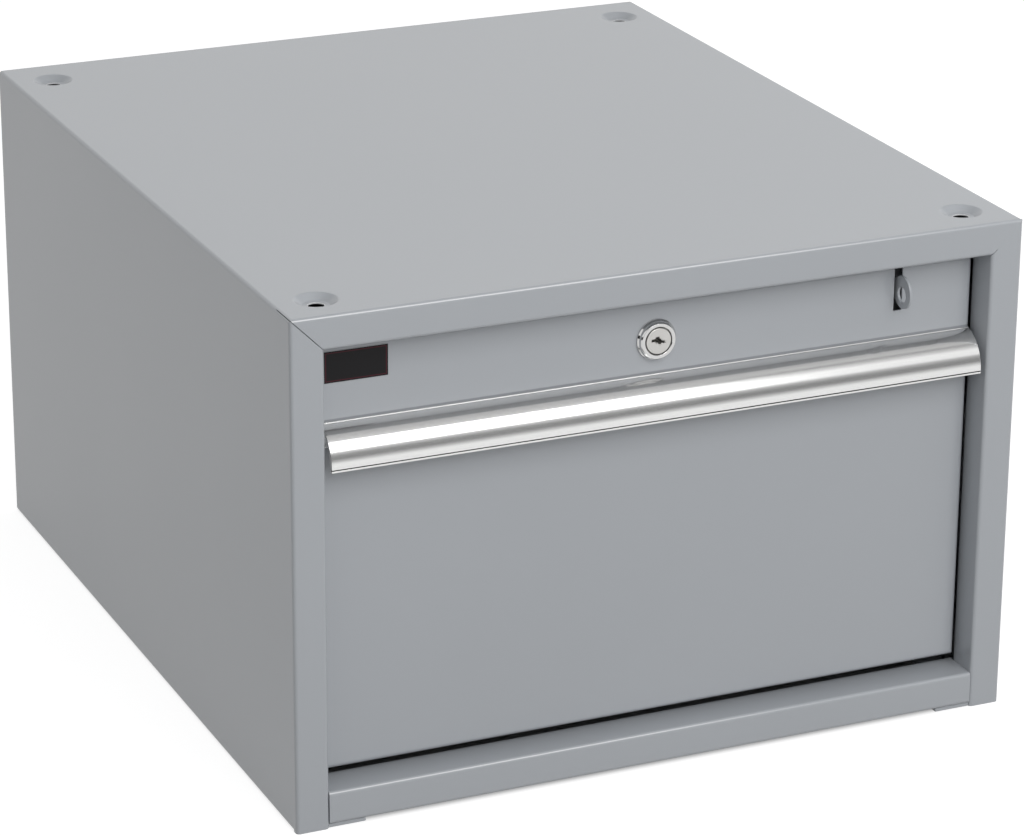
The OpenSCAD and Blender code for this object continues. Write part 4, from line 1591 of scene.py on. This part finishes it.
@dataclass(frozen=True)
class PullHandle:
    """Full-width extruded pull: an arc with a grooved lower edge and a leg behind.

    The section's sizes are in millimetres, the lengths and the rivets' places in metres.
    """

    half_length: float = 196.3 * MM
    axis: Pair = (-232.8, 209.33)
    radius: float = 21.0
    wall: float = 1.8
    skirt: float = 2.0
    top_z: float = 229.8
    leg: float = 13.2
    face_y: float = -237.5
    groove: float = 0.8
    groove_rise: Pair = (1.14, 1.68)
    groove_edge: float = 0.1
    nose_edge: float = 0.28
    edge: float = 0.3
    lip: float = 0.6
    lip_rise: float = 0.35
    lip_gap: float = 0.05
    arc_trims: Triple = (0.012, 0.04, 0.05)
    arc_steps: tuple[int, int] = (72, 40)
    rivet: Rivet = Rivet(
        (
            (0.0, 0.55, 0.0), (0.8, 0.55, 0.2), (0.95, 1.18, 0.15), (2.4, 1.18, 0.9), (3.55, 0.2, 0.2),
            (3.55, 0.0, 0.0), (1.95, 0.0, 0.0), (1.95, -3.0, 0.0), (3.5, -3.0, 0.0), (3.5, -3.25, 0.2),
            (2.3, -4.18, 0.8), (0.0, -4.18, 0.0),
        )
    )
    rivet_x: float = 172.3 * MM
    rivet_pitch: float = 86.15 * MM
    rivet_z: float = 222.3 * MM
    rivet_count: int = 5
    end_edge: EdgeBreak = EdgeBreak(0.14 * MM, segments=2, angle=60.0)

    def section(self) -> list[Pair]:
        """Draws the section, from the leg's foot up and over the front.

        Returns:
            Its outline in Y and Z, in millimetres.
        """
        y0, z0 = self.axis
        inner = self.radius - self.wall
        leg_y, foot_z = self.face_y - self.wall, self.top_z - self.leg
        inner_rise = math.acos((y0 - leg_y) / inner)

        def arc(radius: float, start: float, end: float, steps: int) -> list[Triple]:
            """Points of an arc seen from the front, by its normal's elevation."""
            angles = [start + (end - start) * k / steps for k in range(steps + 1)]
            return [(y0 - radius * math.cos(a), z0 + radius * math.sin(a), 0.0) for a in angles]

        front, low, lip_y = y0 - self.radius, z0 - self.skirt, self.face_y - self.lip
        lip_rise = math.acos((y0 - lip_y) / self.radius)
        groove_low, groove_high = (low + rise for rise in self.groove_rise)
        outer_top, inner_low, inner_top = self.arc_trims
        bead = [
            (front, groove_high, 0.0),
            (front + self.groove, groove_high, self.groove_edge),
            (front + self.groove, groove_low, self.groove_edge),
            (front, groove_low, self.groove_edge),
            (front, low, self.nose_edge),
            (y0 - inner, low, self.edge),
        ]
        line = [
            (leg_y, foot_z, self.edge),
            (self.face_y, foot_z, self.edge),
            (self.face_y, self.top_z + self.lip_rise, self.groove_edge),
            (lip_y, self.top_z + self.lip_rise, self.groove_edge),
            (lip_y, z0 + self.radius * math.sin(lip_rise) + self.lip_gap, 0.0),
            *arc(self.radius, lip_rise - outer_top, 0.0, self.arc_steps[0]),
            *bead,
            *arc(inner, inner_low, inner_rise - inner_top, self.arc_steps[1]),
            (leg_y, z0 + inner * math.sin(inner_rise), self.edge),
        ]
        return rounded(line, closed=True, steps=5)

    def build(self) -> None:
        """Draws the section out and rivets it to the drawer front."""
        shape = bmesh.new()
        points = [(-self.half_length, y * MM, z * MM) for y, z in self.section()]
        shape.faces.new([shape.verts.new(p) for p in points])
        made = through_tree(
            mesh_object("pull_handle_extrusion", shape),
            ExtrusionTree.group(),
            {"Length": 2 * self.half_length, "Finish": HANDLE_METAL.material()},
        )
        fixed = bmesh.new()
        fixed.from_mesh(made.data)
        bmesh.ops.recalc_face_normals(fixed, faces=fixed.faces)
        fixed.to_mesh(made.data)
        fixed.free()
        self.end_edge.on(made)
        place(made, HANDLE_METAL, Body.DRAWER, Slot.HANDLE, ["pull_handle"])
        rivets = Rows(
            start=(-self.rivet_x, (self.face_y - self.wall) * MM, self.rivet_z),
            columns=self.rivet_count,
            column_step=(self.rivet_pitch, 0, 0),
            turn=(math.pi / 2, 0, 0),
        ).of("handle_rivets_set", self.rivet.shape(), ZINC)
        place(rivets, ZINC, Body.DRAWER, Slot.ZINC, ["handle_rivets"])


@dataclass(frozen=True)
class Label:
    """Bare film label in the upper left corner of the drawer front."""

    corner_r: float = 1.0 * MM
    edge: EdgeBreak = EdgeBreak(0.05 * MM)

    def build(self) -> None:
        """Cuts the film with rounded corners."""
        (x0, y0, z0), (x1, y1, z1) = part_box("label_plate")
        r = self.corner_r
        outline = rounded([(x0, z0, r), (x0, z1, r), (x1, z1, r), (x1, z0, r)], closed=True, steps=6)
        shape = bmesh.new()
        face = shape.faces.new([shape.verts.new((x, y1, z)) for x, z in outline])
        drawn = bmesh.ops.extrude_face_region(shape, geom=[face], use_keep_orig=True)
        front = [v for v in drawn["geom"] if isinstance(v, bmesh.types.BMVert)]
        bmesh.ops.translate(shape, vec=(0, y0 - y1, 0), verts=front)
        bmesh.ops.recalc_face_normals(shape, faces=shape.faces)
        film = LabelFilm("label_film_dark", low=(x0, z0), high=(x1, z1))
        made = self.edge.on(mesh_object("label_plate_film", shape))
        place(made, film, Body.DRAWER, Slot.LABEL, ["label_plate"])


@dataclass(frozen=True)
class Drawer:
    """Drawer front, inner front, tray and back, with its pull and label."""

    front_edge: EdgeBreak = EdgeBreak(0.3 * MM)
    sheet_edge: EdgeBreak = EdgeBreak(0.2 * MM)
    handle: PullHandle = PullHandle()
    label: Label = Label()

    def build(self) -> None:
        """Builds the drawer."""
        pieces = (
            ("drawer_front", "pan", self.front_edge),
            ("drawer_inner_front", "sheet", self.sheet_edge),
            ("drawer_floor", "sheet", self.sheet_edge),
            ("drawer_side_left", "folded", self.sheet_edge),
            ("drawer_side_right", "folded", self.sheet_edge),
            ("drawer_back", "folded", self.sheet_edge),
        )
        for node, made, edge in pieces:
            formed(f"{node}_{made}", node, DRAWER_COAT, Body.DRAWER, Slot.DRAWER, edge)
        self.handle.build()
        self.label.build()


# ---------------------------------------------------------------------------
# Lock
# ---------------------------------------------------------------------------


@dataclass(frozen=True)
class CamLock:
    """Cam lock: barrel with its collar, nut, plug, cam and screw.

    The sizes of the thread are in millimetres, the others in metres.
    """

    face_y: float = -241.5 * MM
    centre_z: float = 250.0 * MM
    nut_y: float = -222.5 * MM
    nut_af: float = 25.0 * MM
    nut_t: float = 3.0 * MM
    nut_bore: float = 9.58 * MM
    nut_chamfer: float = 0.35 * MM
    nut_slope: float = 0.85 * MM
    nut_sides: int = 72
    barrel_sharp: float = 28.0
    nut_sharp: float = 25.0
    plug_sharp: float = 30.0
    thread_from: float = 19.4
    thread_pitch: float = 1.0
    thread_turns: int = 13
    thread_r: Pair = (9.0, 9.45)
    cam_edge: EdgeBreak = EdgeBreak(0.3 * MM, 3)
    screw: CrossScrew = CrossScrew(
        head_r=4.3 * MM, head_h=1.7 * MM, length=8.6 * MM, recess=1.1 * MM, shank_r=1.58 * MM, arm=2.4 * MM
    )
    screw_y: float = -203.9 * MM
    slot: Pair = (7.6 * MM, 1.7 * MM)
    slot_step: float = 0.9
    slot_cuts: tuple[Triple, ...] = ((0.0, 1.0 * MM, 9.0 * MM), (1.5 * MM, 0.6 * MM, 0.75 * MM))
    sides: int = 96

    def seated(self, shape: bmesh.types.BMesh, y: float) -> bmesh.types.BMesh:
        """Lays a shape that was made along Z on the lock's axis.

        Args:
            shape: the shape.
            y: where its origin goes.

        Returns:
            The same shape.
        """
        return moved(laid(shape, ALONG_Y), (0, y, self.centre_z))

    def barrel(self) -> None:
        """Collar and threaded barrel, turned about the lock's axis."""
        root, crest = self.thread_r
        corners = [
            (8.06, 1.6, 0.0), (8.06, 0.3, 0.12), (8.35, 0.03, 0.12), (10.0, 0.0, 0.3), (10.7, 0.8, 0.5),
            (10.95, 2.1, 0.5), (11.8, 3.0, 0.35), (11.9, 3.98, 0.05), (crest, 3.98, 0.0), (crest, 19.2, 0.0),
        ]
        for i in range(self.thread_turns):
            h = self.thread_from + i * self.thread_pitch
            corners += [(root, h + 0.3, 0.0), (crest, h + 0.75, 0.0)]
        corners += [
            (crest, 32.6, 0.0), (root, 33.0, 0.0), (7.06, 33.0, 0.0), (7.06, 8.06, 0.0), (8.06, 8.06, 0.0),
        ]
        line = rounded(in_mm(corners), closed=True, steps=5)
        shape = self.seated(turned(line, self.sides, closed=True), self.face_y)
        made = shaded(mesh_object("lock_barrel_turned", shape), self.barrel_sharp)
        place(made, CHROME, Body.DRAWER, Slot.LOCK, ["lock_barrel"])

    def nut(self) -> None:
        """Hexagon nut with chamfered corners."""
        half, t, bore, chamfer = self.nut_af / 2, self.nut_t, self.nut_bore, self.nut_chamfer
        cut_back, whole = 1.02, 1.2

        def round_to(radius: float) -> Callable[[float], float]:
            """Outline of a round edge."""
            return lambda a: radius

        def hexagon(share: float) -> Callable[[float], float]:
            """Outline of the nut, cut back to a share of half its width."""
            return lambda a: min(half * share, half / math.cos(a % (math.pi / 3) - math.pi / 6))

        shape = bmesh.new()
        line = [
            (round_to(bore), chamfer),
            (round_to(bore + chamfer), 0.0),
            (hexagon(cut_back), 0.0),
            (hexagon(whole), self.nut_slope),
            (hexagon(whole), t - self.nut_slope),
            (hexagon(cut_back), t),
            (round_to(bore + chamfer), t),
            (round_to(bore), t - chamfer),
        ]
        rings = [ring(shape, size, z, self.nut_sides) for size, z in line]
        shape = self.seated(skinned(shape, rings, capped=False, joined=True), self.nut_y)
        made = shaded(mesh_object("lock_nut_hexagon", shape), self.nut_sharp)
        place(made, ZINC, Body.DRAWER, Slot.ZINC, ["lock_nut"])

    def key_slot(self, grow: float, front: float, back: float) -> bmesh.types.BMesh:
        """Builds a stepped prism for the key's slot, along Y.

        Args:
            grow: how far the outline stands outside the slot at its front. It has none left at its back.
            front: the prism's front, in Y.
            back: its back, in Y.

        Returns:
            The closed prism about the lock's axis.
        """
        half, h = self.slot[0] / 2, self.slot[1] / 2
        step = self.slot_step * h
        outline = [
            (-half, h + step / 2), (-half * 0.45, h + step / 2), (-half * 0.35, h + 1.6 * step),
            (half * 0.05, h + 1.6 * step), (half * 0.15, h), (half * 0.4, h), (half * 0.5, h - step),
            (half, h - step), (half, -h - step / 2), (half * 0.55, -h - step / 2),
            (half * 0.4, -h - 1.3 * step), (half * 0.1, -h - 1.3 * step), (-half * 0.05, -h),
            (-half * 0.35, -h), (-half * 0.5, -h + step), (-half, -h + step),
        ]
        shape = bmesh.new()
        rings = []
        for y, extra in ((front, grow), (back, 0.0)):
            arms = [Vector((x, z)) + Vector((x, z)).normalized() * extra for x, z in outline]
            rings.append([shape.verts.new((arm.x, y, self.centre_z + arm.y)) for arm in arms])
        return skinned(shape, rings)

    def plug(self) -> None:
        """Turned plug with a lipped face and a stepped key slot, and a neck behind for the cam."""
        corners = [
            (0.0, 0.12, 0.0), (7.2, 0.1, 0.0), (7.45, 0.3, 0.12), (7.5, 1.6, 0.1), (7.98, 2.1, 0.1),
            (7.98, 7.95, 0.2), (6.98, 7.95, 0.0), (6.98, 33.0, 0.0), (3.38, 33.0, 0.0), (3.38, 33.25, 0.0),
            (2.58, 33.25, 0.0), (2.58, 35.78, 0.2), (0.0, 35.78, 0.0),
        ]
        body = turned(rounded(in_mm(corners), steps=4), self.sides)
        made = mesh_object("lock_plug_turned", self.seated(body, self.face_y))
        for i, (grow, front, back) in enumerate(self.slot_cuts):
            prism = self.key_slot(grow, self.face_y - front, self.face_y + back)
            cut_by(made, mesh_object(f"key_slot_cutter_{i}", prism))
        place(shaded(made, self.plug_sharp), PLUG_METAL, Body.LOCK, Slot.LOCK, ["lock_plug"])

    def moving(self) -> None:
        """Plug, cam and the screw that holds the cam."""
        self.plug()
        formed("lock_cam_stamped", "lock_cam", ZINC, Body.LOCK, Slot.ZINC, self.cam_edge)
        made = shaded(mesh_object("cam_screw_cut", self.seated(self.screw.shape(), self.screw_y)))
        place(made, ZINC, Body.LOCK, Slot.ZINC, ["cam_screw"])

    def build(self) -> None:
        """Builds the lock."""
        self.barrel()
        self.nut()
        self.moving()


# ---------------------------------------------------------------------------
# Studio
# ---------------------------------------------------------------------------


@dataclass(frozen=True)
class Lamp:
    """A soft box out of view, which its metal reflects only where in_metal is true."""

    name: str
    place: Triple
    target: Triple
    size: Pair
    radiance: float
    in_metal: bool = True

    def build(self) -> None:
        """Hangs the lamp."""
        data = bpy.data.lights.new(self.name, "AREA")
        data.shape = "RECTANGLE"
        data.size, data.size_y = self.size
        data.energy = self.radiance * math.pi * self.size[0] * self.size[1]
        made = bpy.data.objects.new(self.name, data)
        made.location = self.place
        aim = Vector(self.target) - Vector(self.place)
        made.rotation_euler = aim.to_track_quat("-Z", "Y").to_euler()
        made.visible_camera = False
        made.visible_glossy = self.in_metal
        bpy.context.scene.collection.objects.link(made)


@dataclass(frozen=True)
class Card:
    """A card that only reflections see, with greys from its near edge to its far edge."""

    name: str
    near: Triple
    far: Triple
    along: Triple
    greys: tuple[Pair, ...]

    def build(self) -> None:
        """Stands the card up, with its middle line from near to far and half its length along."""
        near, far, along = Vector(self.near), Vector(self.far), Vector(self.along)
        shape = bmesh.new()
        corners = (near - along, near + along, far + along, far - along)
        shape.faces.new([shape.verts.new(corner) for corner in corners])
        made = mesh_object(self.name, shape)
        material = bpy.data.materials.new(f"{self.name}_greys")
        sheet = empty_sheet(material)
        rise = far - near
        reach = sheet.node("ShaderNodeVectorMath", {0: sheet.place(), 1: -near}, operation="ADD")
        scale = rise / rise.length_squared
        share = sheet.node("ShaderNodeVectorMath", {0: reach, 1: scale}, out="Value", operation="DOT_PRODUCT")
        stops = [(where, (grey,) * 3) for where, grey in self.greys]
        greys = sheet.node("ShaderNodeValToRGB", {"Fac": share}, stops=stops)
        glow = sheet.node("ShaderNodeEmission", {"Color": greys})
        sheet.node("ShaderNodeOutputMaterial", {"Surface": glow})
        made.data.materials.append(material)
        made.visible_camera = False
        made.visible_diffuse = False
        made.visible_transmission = False
        made.visible_shadow = False


@dataclass(frozen=True)
class Studio:
    """Pale floor, soft light and the camera at the photograph's angle."""

    around: float = 0.445
    footprint: Pair = (0.219, 0.254)
    floor_grey: float = 0.36
    floor_glow: float = 0.84
    floor_shine: float = 0.66
    floor_half: float = 9.0
    floor_cloud: float = 0.01
    floor_cloud_scale: float = 3.0
    floor_roughness: float = 0.9
    floor_specular: float = 0.1
    floor_rim: Pair = (-0.012, 0.002)
    lens: float = 140.7
    sensor: float = 36.0
    camera_sees: Pair = (0.05, 60.0)
    camera_place: Triple = (-0.90592, -2.08099, 0.98622)
    camera_right: Triple = (0.91451328, -0.40451196, 0.00596141)
    camera_up: Triple = (0.13905251, 0.32813702, 0.9343396)
    lamps: tuple[Lamp, ...] = (
        Lamp("front_soft_box", (0.15, -1.817, 1.683), (0.0, -0.2, 0.2), (1.75, 1.08), 2.85),
        Lamp("front_fill", (0.4, -2.3, 1.0), (0.0, -0.2, 0.15), (2.0, 1.0), 1.95, in_metal=False),
        Lamp("top_soft_box", (0.95, 0.15, 1.5), (0.05, 0.0, 0.3), (1.0, 1.2), 0.9, in_metal=False),
    )
    cards: tuple[Card, ...] = (
        Card(
            "front_grey_card",
            (0.5, -2.75, 0.0),
            (0.5, -2.75, 1.62),
            (4.0, 0.0, 0.0),
            ((0.0, 0.92), (0.15, 0.56), (0.32, 0.14), (0.50, 0.12), (0.67, 0.20), (0.86, 0.44), (1.0, 0.88)),
        ),
        Card(
            "left_dark_card",
            (-2.5, -0.4, 0.04),
            (-2.5, -0.4, 0.7),
            (0.0, 2.2, 0.0),
            ((0.0, 0.3), (0.15, 0.03), (0.8, 0.03), (1.0, 0.4)),
        ),
        Card(
            "high_grey_card",
            (0.5, -1.5, 2.25),
            (0.5, 2.0, 2.25),
            (3.5, 0.0, 0.0),
            (
                (0.0, 0.62), (0.12, 0.53), (0.3, 0.46), (0.37, 0.38),
                (0.5, 0.22), (0.57, 0.22), (0.8, 0.40), (1.0, 0.40),
            ),
        ),
        Card(
            "right_grey_card",
            (2.06, -1.68, 1.72),
            (2.06, -1.1, 2.3),
            (1.0, 0.0, 0.0),
            ((0.0, 0.95), (0.12, 0.76), (0.4, 0.48), (0.684, 0.28), (1.0, 0.28)),
        ),
    )

    @staticmethod
    def seen_directly(sheet: NodeSheet, in_view: float = 1.0, in_gloss: float = 1.0) -> Signal:
        """How much of the white ground a ray sees.

        Args:
            sheet: the material's or the world's nodes.
            in_view: the share for camera rays.
            in_gloss: the share for glossy and transmission rays.

        Returns:
            That share, or 0 for a ray that only carries light.
        """
        path = sheet.node("ShaderNodeLightPath").socket.node.outputs
        kinds = ("Camera", "Glossy", "Transmission")
        camera, glossy, through = (Signal(sheet, path[f"Is {kind} Ray"]) for kind in kinds)
        return (camera * in_view).at_least(glossy * in_gloss).at_least(through * in_gloss)

    def beyond_case(self, sheet: NodeSheet) -> Signal:
        """Tells the floor under the case from the floor around it.

        Args:
            sheet: the floor's nodes.

        Returns:
            0 under the case, rising to 1 just outside it.
        """
        x, y, _ = sheet.axes()
        across, along = abs(x) - self.footprint[0], abs(y) - self.footprint[1]
        return across.at_least(along).ramp(*self.floor_rim)

    def world(self) -> None:
        """White for the view and for reflections, a plain grey light for surfaces."""
        made = bpy.data.worlds.new("plain_studio")
        sheet = empty_sheet(made)
        colour = sheet.blend(self.seen_directly(sheet), (self.around,) * 3, (1.0, 1.0, 1.0))
        sky = sheet.node("ShaderNodeBackground", {"Color": colour, "Strength": 1.0})
        sheet.node("ShaderNodeOutputWorld", {"Surface": sky})
        bpy.context.scene.world = made

    def floor(self) -> None:
        """A pale floor that keeps the object's shadow."""
        h = self.floor_half
        shape = bmesh.new()
        shape.faces.new([shape.verts.new((x, y, 0)) for x, y in ((-h, -h), (h, -h), (h, h), (-h, h))])
        made = mesh_object("pale_floor", shape)
        material = bpy.data.materials.new("pale_floor_paint")
        sheet = empty_sheet(material)
        cloud = sheet.noise(sheet.place(), self.floor_cloud_scale)
        low, high = ((self.floor_grey + change,) * 3 for change in (-self.floor_cloud, self.floor_cloud))
        share = self.seen_directly(sheet, self.floor_glow, self.floor_shine) * self.beyond_case(sheet)
        glow = sheet.blend(share, (0.0, 0.0, 0.0), (1.0, 1.0, 1.0))
        paint = sheet.node(
            "ShaderNodeBsdfPrincipled",
            {
                "Base Color": sheet.blend(cloud, low, high),
                "Roughness": self.floor_roughness,
                "Specular IOR Level": self.floor_specular,
                "Emission Color": glow,
                "Emission Strength": 1.0,
            },
        )
        sheet.node("ShaderNodeOutputMaterial", {"Surface": paint})
        made.data.materials.append(material)

    def camera(self) -> None:
        """The camera, with the axes fitted to the case's straight edges."""
        data = bpy.data.cameras.new("photo_camera")
        data.sensor_fit = "HORIZONTAL"
        data.sensor_width = self.sensor
        data.lens = self.lens
        data.clip_start, data.clip_end = self.camera_sees
        made = bpy.data.objects.new("photo_camera", data)
        right, up = Vector(self.camera_right), Vector(self.camera_up)
        turn = Matrix((right, up, right.cross(up))).transposed()
        made.matrix_world = Matrix.LocRotScale(Vector(self.camera_place), turn.to_quaternion(), None)
        bpy.context.scene.collection.objects.link(made)
        bpy.context.scene.camera = made

    def build(self) -> None:
        """Builds the studio."""
        bpy.context.scene.view_settings.view_transform = "Standard"
        self.world()
        self.floor()
        self.camera()
        for thing in (*self.lamps, *self.cards):
            thing.build()


def main() -> None:
    """Builds the object and the studio in order."""
    logging.basicConfig(level=logging.INFO, format="%(name)s: %(message)s")
    Studio().build()
    for part in (Case(), Slides(), Drawer(), CamLock()):
        part.build()
        LOG.info("%s is built", type(part).__name__)


if __name__ == "__main__":
    main()
